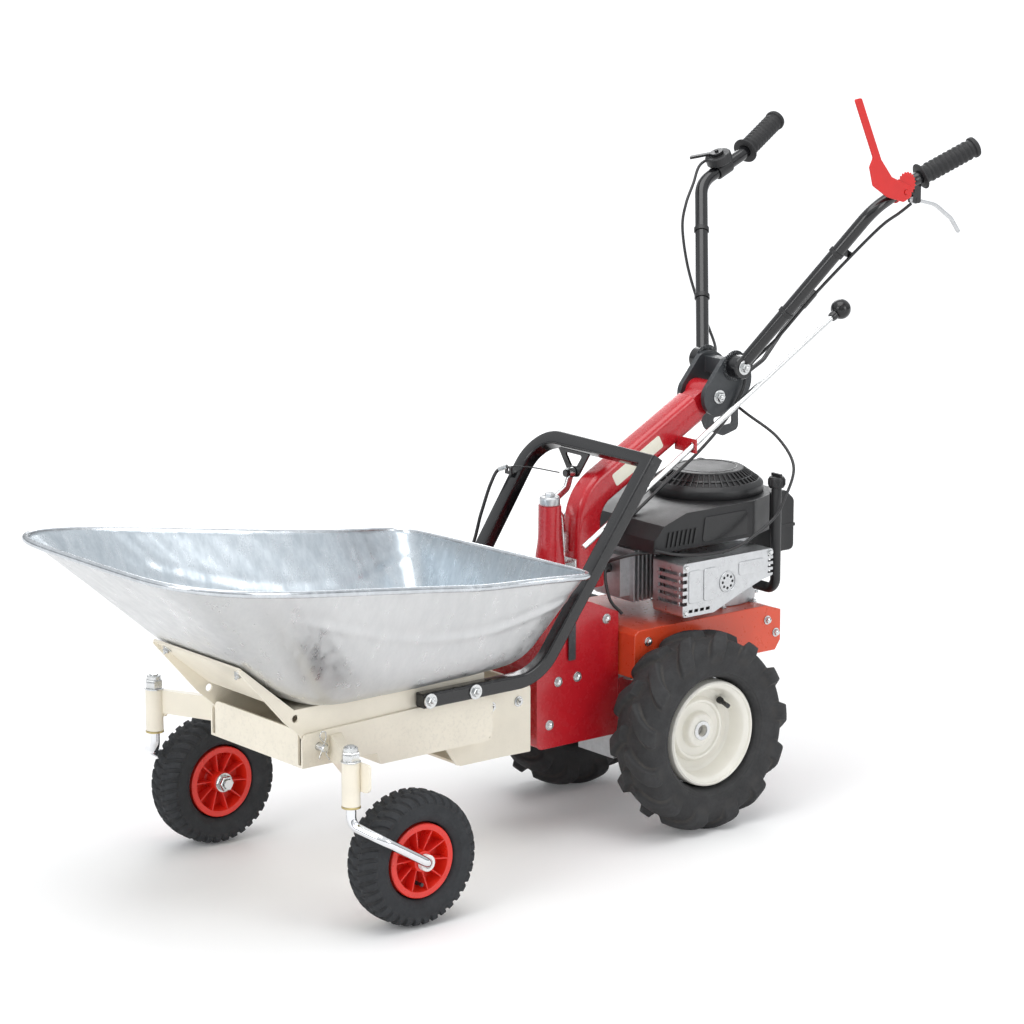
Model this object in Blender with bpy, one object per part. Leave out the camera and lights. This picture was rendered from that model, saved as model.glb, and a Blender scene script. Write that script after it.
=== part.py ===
"""Power wheelbarrow: a two-wheel walk-behind power unit with a tipping barrow in front.

Metres, +Z up, ground at Z = 0. The nose of the tub points towards -Y and the driver's grips
towards +Y; the machine's left side is +X. Shapes are worked out with the drive axle at Y = 0
and then placed AXLE_Y further back, so that the origin is under the middle of the machine.
"""
import math

import bmesh
import bpy
from mathutils import Matrix, Vector

for old_object in list(bpy.data.objects):
    bpy.data.objects.remove(old_object)

AXLE_Y = 0.28126                 # drive axle, measured from the middle of the machine
AXIS_X, AXIS_Y, AXIS_Z = (1, 0, 0), (0, 1, 0), (0, 0, 1)


# ---------------------------------------------------------------- outlines and paths
def arc(center_a, center_b, radius, start, end, steps):
    """steps + 1 points on a circle, between two angles in degrees."""
    points = []
    for i in range(steps + 1):
        angle = math.radians(start + (end - start) * i / steps)
        points.append((center_a + radius * math.cos(angle), center_b + radius * math.sin(angle)))
    return points


def circle(radius, segments):
    angles = [2 * math.pi * k / segments for k in range(segments)]
    return [(radius * math.cos(angle), radius * math.sin(angle)) for angle in angles]


def cut_corner_rect(width, height, cut):
    """A rectangle about the origin, each corner cut off straight."""
    right, top = width / 2 - cut, height / 2 - cut
    centers = (right, top), (-right, top), (-right, -top), (right, -top)
    points = []
    for i, center in enumerate(centers):
        points += arc(*center, cut, 90 * i, 90 * i + 90, 1)
    return points


def catmull(before, start, end, after, t):
    """Catmull-Rom value between start and end, for numbers or vectors."""
    return 0.5 * (2 * start + (end - before) * t
                  + (2 * before - 5 * start + 4 * end - after) * t * t
                  + (3 * start - before - 3 * end + after) * t ** 3)


def smooth_path(points, count):
    """count points along a smooth curve through the given ones."""
    knots = [Vector(p) for p in points]
    last = len(knots) - 1
    path = []
    for k in range(count):
        place = last * k / (count - 1)
        i = min(int(place), last - 1)
        before = knots[i - 1] if i else knots[0] * 2 - knots[1]
        after = knots[i + 2] if i + 2 <= last else knots[last] * 2 - knots[last - 1]
        path.append(catmull(before, knots[i], knots[i + 1], after, place - i))
    return path


def fillet_path(points, radii, steps):
    """A 3-D polyline with rounded inner corners; radii has one value per inner corner."""
    corners = [Vector(p) for p in points]
    path = [corners[0]]
    for before, corner, after, radius in zip(corners, corners[1:], corners[2:], radii):
        back, ahead = before - corner, after - corner
        room = 0.49 * min(back.length, ahead.length)
        back.normalize()
        ahead.normalize()
        half_angle = back.angle(ahead) / 2
        trim = min(radius / math.tan(half_angle), room)
        if trim < 1e-6:
            path.append(corner)
            continue
        center_distance = trim * math.tan(half_angle) / math.sin(half_angle)
        center = corner + (back + ahead).normalized() * center_distance
        first, final = corner + back * trim - center, corner + ahead * trim - center
        turn, axis = first.angle(final), first.cross(final).normalized()
        for k in range(steps + 1):
            path.append(center + Matrix.Rotation(turn * k / steps, 3, axis) @ first)
    path.append(corners[-1])
    return path


# ---------------------------------------------------------------- solids
def bridge(mesh, row, next_row):
    """Faces between two closed rows of vertices; a row may be one repeated pole vertex."""
    count = len(row)
    for j in range(count):
        k = (j + 1) % count
        corners = list(dict.fromkeys((row[j], row[k], next_row[k], next_row[j])))
        if len(corners) > 2:
            mesh.faces.new(corners)


def box(x_range, y_range, z_range):
    mesh = bmesh.new()
    bmesh.ops.create_cube(mesh, size=1.0)
    for vert in mesh.verts:
        vert.co = Vector([(low + high) / 2 + unit * (high - low)
                          for unit, (low, high) in zip(vert.co, (x_range, y_range, z_range))])
    return mesh


def prism(outline, axis, start, end):
    """Extrudes an outline. Axis X takes (y, z) points, Y takes (x, z), Z takes (x, y)."""
    def place(point, height):
        coords = list(point)
        coords.insert("XYZ".index(axis), height)
        return coords
    mesh = bmesh.new()
    low = [mesh.verts.new(place(p, start)) for p in outline]
    high = [mesh.verts.new(place(p, end)) for p in outline]
    mesh.faces.new(low)
    mesh.faces.new(list(reversed(high)))
    for i in range(len(outline)):
        k = (i + 1) % len(outline)
        mesh.faces.new((low[i], high[i], high[k], low[k]))
    bmesh.ops.recalc_face_normals(mesh, faces=mesh.faces)
    return mesh


def plate_pair(outline, inner_x, outer_x):
    """The same (y, z) plate on the left and on the right."""
    return [prism(outline, "X", inner_x, outer_x), prism(outline, "X", -outer_x, -inner_x)]


def lathe(profile, origin, axis, segments, phase=0.0):
    """Turns a closed (radius, height) loop about an axis. phase is in segments."""
    axis = Vector(axis).normalized()
    helper = Vector(AXIS_Z if abs(axis.z) < 0.9 else AXIS_X)
    across = helper.cross(axis).normalized()
    other = axis.cross(across).normalized()
    origin = Vector(origin)
    mesh = bmesh.new()
    rings = []
    for radius, height in profile:
        center = origin + axis * height
        if radius < 1e-9:
            rings.append([mesh.verts.new(center)] * segments)
            continue
        angles = [2 * math.pi * (k + phase) / segments for k in range(segments)]
        rings.append([mesh.verts.new(center + (across * math.cos(angle)
                                               + other * math.sin(angle)) * radius)
                      for angle in angles])
    for ring, next_ring in zip(rings, rings[1:]):
        bridge(mesh, ring, next_ring)
    if profile[0][0] > 1e-9 or profile[-1][0] > 1e-9:
        bridge(mesh, rings[-1], rings[0])
    bmesh.ops.recalc_face_normals(mesh, faces=mesh.faces)
    return mesh


def cylinder(start, end, radius, segments):
    start, axis = Vector(start), Vector(end) - Vector(start)
    length = axis.length
    return lathe([(0, 0), (radius, 0), (radius, length), (0, length)], start, axis, segments)


def cylinder_x(x_range, center, radius, segments):
    """A cylinder along X round a (y, z) centre."""
    return cylinder((x_range[0], *center), (x_range[1], *center), radius, segments)


def cylinder_z(center, z_range, radius, segments):
    """A cylinder along Z round an (x, y) centre."""
    return cylinder((*center, z_range[0]), (*center, z_range[1]), radius, segments)


def carried_frames(path, up):
    """Two cross directions at each point, carried along without twist."""
    last = len(path) - 1
    tangents = [(path[min(i + 1, last)] - path[max(i - 1, 0)]).normalized()
                for i in range(last + 1)]
    across = Vector(up)
    frames = []
    for i, tangent in enumerate(tangents):
        if i:
            axis = tangents[i - 1].cross(tangent)
            if axis.length > 1e-9:
                turn = tangents[i - 1].angle(tangent)
                across = Matrix.Rotation(turn, 3, axis.normalized()) @ across
        across = (across - tangent * across.dot(tangent)).normalized()
        frames.append((across, tangent.cross(across).normalized()))
    return frames


def mitre(path, i):
    """Direction and amount a section must stretch at a bend so that a tube keeps its width."""
    if 0 < i < len(path) - 1:
        arriving = (path[i] - path[i - 1]).normalized()
        leaving = (path[i + 1] - path[i]).normalized()
        angle = arriving.angle(leaving)
        if angle >= 1e-4:
            return (leaving - arriving).normalized(), 1 / math.cos(angle / 2)
    return Vector(), 1.0


def sweep(path, section, up=AXIS_Z, inner=None, scale=None):
    """Sweeps a closed section along a path; an inner section makes a tube with open ends."""
    path = [Vector(p) for p in path]
    frames = carried_frames(path, up)
    mesh = bmesh.new()

    def skin(outline):
        rows = []
        for i, (across, other) in enumerate(frames):
            bend, stretch = mitre(path, i)
            size = scale[i] if scale else 1.0
            row = []
            for a, b in outline:
                offset = (across * a + other * b) * size
                offset = offset + bend * (offset.dot(bend) * (stretch - 1))
                row.append(mesh.verts.new(path[i] + offset))
            rows.append(row)
        for row, next_row in zip(rows, rows[1:]):
            bridge(mesh, row, next_row)
        return rows

    outer_rows = skin(section)
    if inner is None:
        mesh.faces.new(list(reversed(outer_rows[0])))
        mesh.faces.new(outer_rows[-1])
    else:
        inner_rows = skin(inner)
        for end in (0, -1):
            bridge(mesh, outer_rows[end], inner_rows[end])
    bmesh.ops.recalc_face_normals(mesh, faces=mesh.faces)
    return mesh


def on_side(side, mesh):
    """Takes a shape drawn for the left and mirrors it if it is for the right."""
    if side == "right":
        bmesh.ops.transform(mesh, matrix=Matrix.Scale(-1, 4, AXIS_X), verts=mesh.verts)
        bmesh.ops.reverse_faces(mesh, faces=mesh.faces)
    return mesh


# ---------------------------------------------------------------- finishes and objects
FINISHES = {  # base colour, roughness, metallic
    "zinc_sheet": ((.62, .65, .68), .35, 1.0),
    "cream_paint": ((.87, .82, .70), .45, 0.0),
    "black_paint": ((.015, .015, .017), .22, 0.0),
    "tyre_rubber": ((.035, .035, .038), .85, 0.0),
    "red_plastic": ((.72, .03, .03), .35, 0.0),
    "chrome": ((.80, .80, .82), .12, 1.0),
    "zinc_steel": ((.66, .66, .66), .32, 1.0),
    "red_paint": ((.50, .02, .03), .30, 0.0),
    "orange_paint": ((.68, .07, .03), .32, 0.0),
    "rim_paint": ((.85, .83, .76), .40, 0.0),
    "black_plastic": ((.03, .03, .033), .50, 0.0),
    "cast_alloy": ((.55, .56, .57), .45, 1.0),
    "grey_paint": ((.20, .21, .22), .45, 0.0),
    "grip_rubber": ((.03, .03, .032), .70, 0.0),
    "belt_rubber": ((.03, .03, .03), .80, 0.0),
}


def make_material(name, color, roughness, metallic):
    material = bpy.data.materials.new(name)
    material.use_nodes = True
    inputs = material.node_tree.nodes["Principled BSDF"].inputs
    inputs["Base Color"].default_value = (*color, 1)
    inputs["Roughness"].default_value = roughness
    inputs["Metallic"].default_value = metallic
    return material


MATERIALS = {name: make_material(name, *values) for name, values in FINISHES.items()}


def make_object(name, mesh):
    """Turns a bmesh into an object and frees it."""
    data = bpy.data.meshes.new(name)
    mesh.normal_update()
    mesh.to_mesh(data)
    mesh.free()
    ob = bpy.data.objects.new(name, data)
    bpy.context.scene.collection.objects.link(ob)
    return ob


def apply_boolean(ob, tool_mesh, operation):
    tool = make_object(ob.name + "_tool", tool_mesh)
    modifier = ob.modifiers.new("b", "BOOLEAN")
    modifier.operation = operation
    modifier.solver = "EXACT"
    modifier.object = tool
    bpy.context.view_layer.update()
    depsgraph = bpy.context.evaluated_depsgraph_get()
    result = bpy.data.meshes.new_from_object(ob.evaluated_get(depsgraph))
    ob.modifiers.clear()
    old_data, ob.data = ob.data, result
    result.name = ob.name
    bpy.data.meshes.remove(old_data)
    tool_data = tool.data
    bpy.data.objects.remove(tool)
    bpy.data.meshes.remove(tool_data)


def finish_object(ob, finish, pivot):
    """Sets the origin on the pivot, places the object, and gives it its finish and shading."""
    pivot = Vector(pivot)
    data = ob.data
    data.transform(Matrix.Translation(-pivot))
    ob.location = pivot + Vector((0, AXLE_Y, 0))
    data.materials.clear()
    data.materials.append(MATERIALS[finish])
    data.polygons.foreach_set("material_index", [0] * len(data.polygons))
    mesh = bmesh.new()
    mesh.from_mesh(data)
    bmesh.ops.remove_doubles(mesh, verts=mesh.verts, dist=1e-5)
    bmesh.ops.triangulate(mesh, faces=mesh.faces, quad_method="BEAUTY", ngon_method="EAR_CLIP")
    mesh.to_mesh(data)
    mesh.free()
    data.shade_smooth()
    data.set_sharp_from_angle(angle=math.radians(35))


def add(name, finish, mesh, pivot=(0, 0, 0)):
    """A piece made of one shape."""
    finish_object(make_object(name, mesh), finish, pivot)


def add_fused(name, finish, shapes, cuts=(), pivot=(0, 0, 0)):
    """A piece fused from overlapping shapes, less the cuts."""
    ob = make_object(name, shapes[0])
    for shape in shapes[1:]:
        apply_boolean(ob, shape, "UNION")
    for cut in cuts:
        apply_boolean(ob, cut, "DIFFERENCE")
    finish_object(ob, finish, pivot)


# ---------------------------------------------------------------- tub
# Left half of the rim seen from above, (x, y) from the nose centre to the rear centre,
# and the outline of the floor matched to it point by point.
RIM = [
    (0, -1.115), (.11, -1.114), (.172, -1.108), (.216, -1.092), (.246, -1.067), (.267, -1.034),
    (.279, -.996), (.2835, -.955), (.284, -.905), (.280, -.850), (.273, -.785), (.265, -.710),
    (.258, -.630), (.253, -.550), (.2510, -.470), (.2545, -.410), (.2590, -.362), (.2560, -.325),
    (.2300, -.306), (.170, -.3000), (.08, -.2990), (0, -.2985)]
FLOOR = [
    (0, -.815), (.06, -.815), (.10, -.815), (.13, -.808), (.148, -.792), (.157, -.770),
    (.160, -.750), (.161, -.725), (.162, -.700), (.163, -.665), (.163, -.625), (.162, -.580),
    (.161, -.530), (.160, -.480), (.158, -.435), (.153, -.400), (.146, -.378), (.134, -.364),
    (.118, -.358), (.098, -.355), (.060, -.355), (0, -.355)]
FLOOR_Z = 0.338
TUB_SHEET = .0020                # thickness
BEAD_RADIUS = .0055              # rolled edge round the rim
BEAD_STEPS = 4
FLOOR_INSET = .045               # how far inside the floor outline the bottom bend starts
BEND_SHARE = 0.28                # share of the wall taken by the bottom bend
BEND_STEPS = 3
WALL_STEPS = 3
HALF_COLUMNS = 22                # steps round half of the rim
RIM_SAMPLES = 840                # used to space the columns evenly


def rim_height(x, y):
    """Falls towards the rear, with a smooth lift near the rear that is greater on the left."""
    t = max(0.0, min(1.0, (y + .56) / .26))
    return .446 - .139 * y + t * t * (3 - 2 * t) * (.010 + .030 * x)


def outline_point(points, place):
    """Smooth point on a half outline that is mirrored at its ends; place counts points."""
    last = len(points) - 1
    i = min(int(place), last - 1)
    start, end = points[i], points[i + 1]
    before = points[i - 1] if i else (-end[0], end[1])
    after = points[i + 2] if i + 2 <= last else (-start[0], start[1])
    return [catmull(*values, place - i) for values in zip(before, start, end, after)]


def even_rim_places():
    """Places on the rim outline that are evenly spaced by length."""
    step = (len(RIM) - 1) / RIM_SAMPLES
    samples = [outline_point(RIM, k * step) for k in range(RIM_SAMPLES + 1)]
    run = [0.0]
    for start, end in zip(samples, samples[1:]):
        run.append(run[-1] + math.hypot(end[0] - start[0], end[1] - start[1]))
    places, j = [], 0
    for i in range(HALF_COLUMNS + 1):
        distance = run[-1] * i / HALF_COLUMNS
        while j < RIM_SAMPLES - 1 and run[j + 1] < distance:
            j += 1
        places.append((j + (distance - run[j]) / (run[j + 1] - run[j])) * step)
    return places


def tub_section(length, rise):
    """(outward, up) loop: underside, bead, then the inside face back to the floor."""
    under = []
    for k in range(BEND_STEPS + 1):
        t = k / BEND_STEPS
        under.append((-FLOOR_INSET * (1 - t) ** 2 + BEND_SHARE * length * t * t,
                      BEND_SHARE * rise * t * t))
    wall_end = 1 - BEAD_RADIUS * 1.2 / math.hypot(length, rise)
    for k in range(1, WALL_STEPS + 1):
        t = BEND_SHARE + (wall_end - BEND_SHARE) * k / WALL_STEPS
        under.append((length * t, rise * t))
    inside = [(under[0][0], under[0][1] + TUB_SHEET)]
    for k in range(1, len(under)):
        before, after = under[k - 1], under[min(k + 1, len(under) - 1)]
        out, up = after[0] - before[0], after[1] - before[1]
        shift = TUB_SHEET / math.hypot(out, up)
        inside.append((under[k][0] - up * shift, under[k][1] + out * shift))
    bead = arc(length + BEAD_RADIUS - TUB_SHEET, rise, BEAD_RADIUS, 230, 540, BEAD_STEPS)
    return under + bead + inside[::-1]


def tub():
    places = even_rim_places()
    columns = [(place, 1) for place in places] + [(place, -1) for place in places[-2:0:-1]]
    mesh = bmesh.new()
    rows = []
    for place, sign in columns:
        rim_x, rim_y = outline_point(RIM, place)
        floor_x, floor_y = outline_point(FLOOR, place)
        rim = Vector((rim_x * sign, rim_y, rim_height(rim_x * sign, rim_y)))
        base = Vector((floor_x * sign, floor_y, FLOOR_Z))
        outward = Vector((rim.x - base.x, rim.y - base.y, 0))
        loop = tub_section(outward.length, rim.z - base.z)
        outward.normalize()
        rows.append([mesh.verts.new(base + outward * out + Vector((0, 0, up)))
                     for out, up in loop])
    for row, next_row in zip(rows, rows[1:] + rows[:1]):
        for k in range(len(row) - 1):
            mesh.faces.new((row[k], next_row[k], next_row[k + 1], row[k + 1]))
    mesh.faces.new([row[0] for row in rows])
    mesh.faces.new([row[-1] for row in reversed(rows)])
    bmesh.ops.recalc_face_normals(mesh, faces=mesh.faces)
    return mesh


TIP_YZ = (-.771, .271)           # tipping pivot
TIP = (0, *TIP_YZ)
add("tub", "zinc_sheet", tub(), TIP)

# ---------------------------------------------------------------- cradle and handle loop
BOLT_YS = (-.562, -.469)         # bolts through the loop's lower ends
LOOP_X, LOOP_Z = .1383, .315     # lower ends of the loop


def tip_bore():
    return cylinder_x((-.2, .2), TIP_YZ, .0066, 12)


def bolt_bores():
    return [cylinder_x((-.2, .2), (y, LOOP_Z), .0053, 10) for y in BOLT_YS]


def saddle():
    """Sloping plate under the front wall of the tub, 130 mm long and 4 mm thick."""
    slope, below = Vector((0, -.7601, .6498)), Vector((0, -.6498, -.7601))
    low = Vector((0, -.8162, .3377)) + below * .0006
    high = low + slope * .130
    outline = [(low.y, low.z), (high.y, high.z),
               (high.y + below.y * .004, high.z + below.z * .004),
               (low.y + below.y * .004 + .004, low.z + below.z * .004)]
    return prism(outline, "X", -.1225, .1225)


FLANGE = [(-.793, .271), (-.7866, .2554), (-.771, .249), (-.7554, .2554), (-.742, .262),
          (-.445, .262), (-.432, .272), (-.430, .284), (-.430, .3372), (-.8145, .3372),
          (-.9135, .4195), (-.9180, .4140), (-.834, .320), (-.802, .292)]
add_fused("tub_cradle", "cream_paint",
          plate_pair(FLANGE, .1205, .1245)
          + [box((-.1225, .1225), (-.8145, -.430), (.3333, .3372)), saddle()],
          [tip_bore()] + bolt_bores(), TIP)

# Handle loop: square tube, open at both lower ends. The left top corner is mitred and the
# right one is bent round.
LOOP_TUBE, LOOP_WALL, LOOP_CUT = .025, .002, .004
loop_path = fillet_path(
    [(LOOP_X, -.572, LOOP_Z), (LOOP_X, -.330, LOOP_Z), (.150, -.0935, .652),
     (-.150, -.0935, .652), (-LOOP_X, -.330, LOOP_Z), (-LOOP_X, -.572, LOOP_Z)],
    [.09, .0, .060, .09], 4)
loop_bore = LOOP_TUBE - 2 * LOOP_WALL
loop_tube = sweep(loop_path, cut_corner_rect(LOOP_TUBE, LOOP_TUBE, LOOP_CUT),
                  inner=cut_corner_rect(loop_bore, loop_bore, LOOP_CUT - LOOP_WALL))
add_fused("handle_loop", "black_paint", [loop_tube], bolt_bores(), TIP)

# Bolt head, washer and shank on one side, then the same on the other
BOLT = [(0, -.160), (.0085, -.160), (.0085, -.1545), (.0125, -.1545), (.0125, -.1512),
        (.005, -.1512), (.005, .1512), (.0125, .1512), (.0125, .1545), (.0085, .1545),
        (.0085, .160), (0, .160)]
for end, bolt_y in zip(("front", "rear"), BOLT_YS):
    add("loop_bolt_" + end, "zinc_steel", lathe(BOLT, (0, bolt_y, LOOP_Z), AXIS_X, 10), TIP)

# ---------------------------------------------------------------- latch on the loop
LATCH_X = -.036
LATCH_Z = .606                   # pin that the hook hangs on
BRACKET_TOP, BRACKET_FOOT = (.042, .6435), (.010, .598)      # half width, height
WINDOW_TOP, WINDOW_FOOT = (.024, .6380), (.008, .6165)


def latch_trapezoid(top, foot, start_y, end_y):
    outline = [(LATCH_X - top[0], top[1]), (LATCH_X + top[0], top[1]),
               (LATCH_X + foot[0], foot[1]), (LATCH_X - foot[0], foot[1])]
    return prism(outline, "Y", start_y, end_y)


def latch_pin(start_y, end_y, radius, segments):
    return cylinder((LATCH_X, start_y, LATCH_Z), (LATCH_X, end_y, LATCH_Z), radius, segments)


add_fused("latch_bracket", "black_paint",
          [latch_trapezoid(BRACKET_TOP, BRACKET_FOOT, -.1085, -.1045),
           latch_pin(-.1275, -.1065, .0035, 10)],
          [latch_trapezoid(WINDOW_TOP, WINDOW_FOOT, -.12, -.09)], TIP)

# Cable, narrowed where it meets the latch
CABLE = [(-.176, -.300, .400), (-.184, -.222, .452), (-.182, -.196, .520),
         (-.176, -.178, .574), (-.168, -.162, .598), (-.110, -.150, .608),
         (-.048, -.130, .606)]
add("latch_cable", "black_plastic",
    sweep(smooth_path(CABLE, 14), circle(.003, 6), up=AXIS_Y, scale=[1.0] * 11 + [.4] * 3), TIP)

hook_path = fillet_path(
    [(LATCH_X, -.116, .601), (LATCH_X, -.123, .580), (LATCH_X + .004, -.158, .562),
     (-.006, -.158, .540), (-.006, -.1525, .476)], [.012, .012, .010], 2)
add_fused("latch_hook", "zinc_steel",
          [sweep(hook_path, circle(.004, 6), up=AXIS_X), latch_pin(-.1222, -.1100, .009, 12)],
          [latch_pin(-.14, -.10, .0039, 12)], (LATCH_X, -.118, LATCH_Z))

# ---------------------------------------------------------------- barrow chassis
SIDE = [(-.803, .239), (-.803, .285), (-.797, .294), (-.756, .2955), (-.572, .3005),
        (-.44, .2985), (-.416, .290), (-.416, .236), (-.420, .227), (-.431, .219),
        (-.649, .219), (-.654, .239)]
PAN = [(-.803, .239), (-.6525, .239), (-.6475, .219), (-.418, .219), (-.418, .223),
       (-.6445, .223), (-.6495, .243), (-.803, .243)]
PAN_X = .128                     # half width: the middle of the side plates
# Side plates, stepped bottom pan, front and rear cross plates
add_fused("chassis_frame", "cream_paint",
          plate_pair(SIDE, PAN_X - .002, PAN_X + .002)
          + [prism(PAN, "X", -PAN_X, PAN_X),
             box((-.1175, .1175), (-.803, -.799), (.241, .300)),
             box((-PAN_X, PAN_X), (-.420, -.416), (.221, .284))],
          [tip_bore()])

HITCH_X = .088
HITCH_SIDE = [(-.482, .207), (-.463, .173), (-.304, .170), (-.304, .290), (-.4155, .290),
              (-.4155, .2187), (-.478, .2187)]
# Side plates, rear plate, floor, front cross bar and rear boss
add_fused("hitch_bracket", "cream_paint",
          plate_pair(HITCH_SIDE, HITCH_X - .002, HITCH_X + .002)
          + [box((-HITCH_X, HITCH_X), (-.310, -.304), (.170, .290)),
             box((-HITCH_X, HITCH_X), (-.452, -.306), (.1705, .1745)),
             cylinder_x((-HITCH_X, HITCH_X), (-.455, .200), .008, 10),
             cylinder((0, -.306, .226), (0, -.2825, .226), .032, 16)])

PIVOT_PIN = [(0, -.139), (.009, -.139), (.009, -.1303), (.006, -.1303), (.006, .149), (0, .149)]
add("pivot_pin", "zinc_steel", lathe(PIVOT_PIN, TIP, AXIS_X, 12))
# Wire ring round the pin's left end
add("pivot_clip", "zinc_steel", lathe(arc(.0078, .1405, .0014, 0, 300, 5), TIP, AXIS_X, 12))

# ---------------------------------------------------------------- casters
KINGPIN = (.2793, -.8163)        # (x, y), left
CASTER_RADIUS = 0.110
CASTER = (.2815, -.7004, CASTER_RADIUS)
ROD_RADIUS = 0.008
ROD_BORE = ROD_RADIUS + .0004
CASTER_RIM = [(.0086, -.0335), (.017, -.0335), (.019, -.011), (.047, -.013), (.050, -.029),
              (.0612, -.029), (.0612, .029), (.050, .029), (.047, .006), (.019, .006),
              (.017, .0335), (.0086, .0335)]
CASTER_TYRE = [(.0621, -.025), (.078, -.0325), (.097, -.0330), (CASTER_RADIUS, -.019),
               (CASTER_RADIUS, .019), (.097, .0330), (.078, .0325), (.0621, .025)]


def tyre(profile, radius, center, segments):
    """The tread is moved out so that its flats, not its corners, lie at the wheel's radius."""
    tread = radius / math.cos(math.pi / segments)
    profile = [(tread if r > radius - 1e-6 else r, height) for r, height in profile]
    return lathe(profile, center, AXIS_X, segments, .5)


def caster_beam():
    """Folded channel running outward and forward from the chassis side to the kingpin tube."""
    inner, outer = (.1304, -.750), (KINGPIN[0], -.8145)
    web = [inner, outer, (outer[0], -.8105), (inner[0], -.746)]
    wing = [inner, outer, (outer[0], -.8055), (inner[0], -.726)]
    return [prism(web, "Z", .2465, .2865),
            prism(wing, "Z", .2465, .2505),
            prism(wing, "Z", .2825, .2865),
            cylinder_z(KINGPIN, (.2167, .2871), .0148, 14)]


def caster_arm():
    """Bent rod from the kingpin, round the outside of the wheel and in along its axle."""
    arm_x = 0.335
    path = fillet_path(
        [(*KINGPIN, .306), (*KINGPIN, .184), (arm_x, -.796, .168),
         (arm_x, *CASTER[1:]), (.232, *CASTER[1:])], [.018, .024, .020], 3)
    return sweep(path, circle(ROD_RADIUS, 10), up=AXIS_Y)


def kingpin_nut():
    """Domed cap, hollow below."""
    segments = 8
    bore = ROD_BORE / math.cos(math.pi / segments)
    profile = [(0, .3075), (bore, .3075), (bore, .2875), (.0155, .2875), (.0155, .3035),
               (.0125, .3105), (.007, .3145), (0, .3158)]
    return lathe(profile, (*KINGPIN, 0), AXIS_Z, segments)


def caster_axle_nut():
    segments = 6
    bore = ROD_BORE / math.cos(math.pi / segments)
    profile = [(bore, 0), (.0128, 0), (.0128, .0095), (bore, .0095)]
    return lathe(profile, (.2365, *CASTER[1:]), AXIS_X, segments)


for side, sign in (("left", 1), ("right", -1)):
    add_fused("caster_beam_" + side, "cream_paint",
              [on_side(side, shape) for shape in caster_beam()],
              [on_side(side, cylinder_z(KINGPIN, (.2, .3), ROD_BORE, 14))])
    swivel = (KINGPIN[0] * sign, KINGPIN[1], .25)
    center = (CASTER[0] * sign, *CASTER[1:])
    caster_rim = lathe(CASTER_RIM, CASTER, AXIS_X, 16, .5)
    caster_tyre = tyre(CASTER_TYRE, CASTER_RADIUS, CASTER, 24)
    add("caster_arm_" + side, "chrome", on_side(side, caster_arm()), swivel)
    add("kingpin_nut_" + side, "zinc_steel", on_side(side, kingpin_nut()), swivel)
    add("caster_axle_nut_" + side, "zinc_steel", on_side(side, caster_axle_nut()), swivel)
    add("caster_rim_" + side, "red_plastic", on_side(side, caster_rim), center)
    add("caster_tyre_" + side, "tyre_rubber", on_side(side, caster_tyre), center)

# ---------------------------------------------------------------- drive line
DRIVE_RADIUS = 0.1736
AXLE_YZ = (0, DRIVE_RADIUS)
AXLE = (0, *AXLE_YZ)
DRIVE_WHEEL = (.1749, *AXLE_YZ)
WORM_XY = (0, -.055)             # upright worm shaft
WORM_PIVOT = (*WORM_XY, .2)
ENGINE_XY = (0, .165)            # upright crankshaft
DRIVE_TYRE = [(.0916, -.034), (.112, -.0430), (.145, -.0440), (DRIVE_RADIUS, -.026),
              (DRIVE_RADIUS, .026), (.145, .0440), (.112, .0430), (.0916, .034)]
DRIVE_RIM = [(.0104, -.0285), (.028, -.0285), (.028, -.012), (.072, -.014), (.078, -.036),
             (.0904, -.036), (.0904, .036), (.079, .034), (.074, -.009), (.050, -.007),
             (.046, .001), (.030, .001), (.028, .007), (.0104, .007)]

add("drive_axle", "zinc_steel", cylinder_x((-.172, .172), AXLE_YZ, .010, 12), AXLE)
for side in ("left", "right"):
    drive_rim = lathe(DRIVE_RIM, DRIVE_WHEEL, AXIS_X, 18, .5)
    drive_tyre = tyre(DRIVE_TYRE, DRIVE_RADIUS, DRIVE_WHEEL, 28)
    add("drive_rim_" + side, "rim_paint", on_side(side, drive_rim), AXLE)
    add("drive_tyre_" + side, "tyre_rubber", on_side(side, drive_tyre), AXLE)

WORM_WHEEL = [(.0103, -.014), (.018, -.014), (.018, -.008), (.0400, -.008), (.0400, .008),
              (.018, .008), (.018, .014), (.0103, .014)]
add("worm_wheel", "cast_alloy", lathe(WORM_WHEEL, AXLE, AXIS_X, 20), AXLE)

WORM_SHAFT = [(0, .122), (.008, .122), (.008, .150), (.0138, .153), (.0138, .194),
              (.008, .197), (.008, .312), (0, .312)]
add("worm_shaft", "zinc_steel", lathe(WORM_SHAFT, (*WORM_XY, 0), AXIS_Z, 12), WORM_PIVOT)

GEARBOX_PULLEY_R, ENGINE_PULLEY_R = .030, .027
GEARBOX_PULLEY = [(.0083, .286), (GEARBOX_PULLEY_R, .286), (GEARBOX_PULLEY_R, .304),
                  (.0083, .304)]
add("gearbox_pulley", "cast_alloy",
    lathe(GEARBOX_PULLEY, (*WORM_XY, 0), AXIS_Z, 18), WORM_PIVOT)

# Case, top flange and axle tube, hollowed out and bored for both shafts
add_fused("gearbox_case", "cast_alloy",
          [box((-.048, .048), (-.085, .058), (.108, .2625)),
           box((-.090, .090), (-.090, .120), (.259, .2677)),
           cylinder_x((-.127, .127), AXLE_YZ, .021, 14)],
          [box((-.040, .040), (-.077, .050), (.118, .252)),
           cylinder_z(WORM_XY, (.2, .3), .0086, 12),
           cylinder_x((-.2, .2), AXLE_YZ, .0104, 14)])


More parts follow.
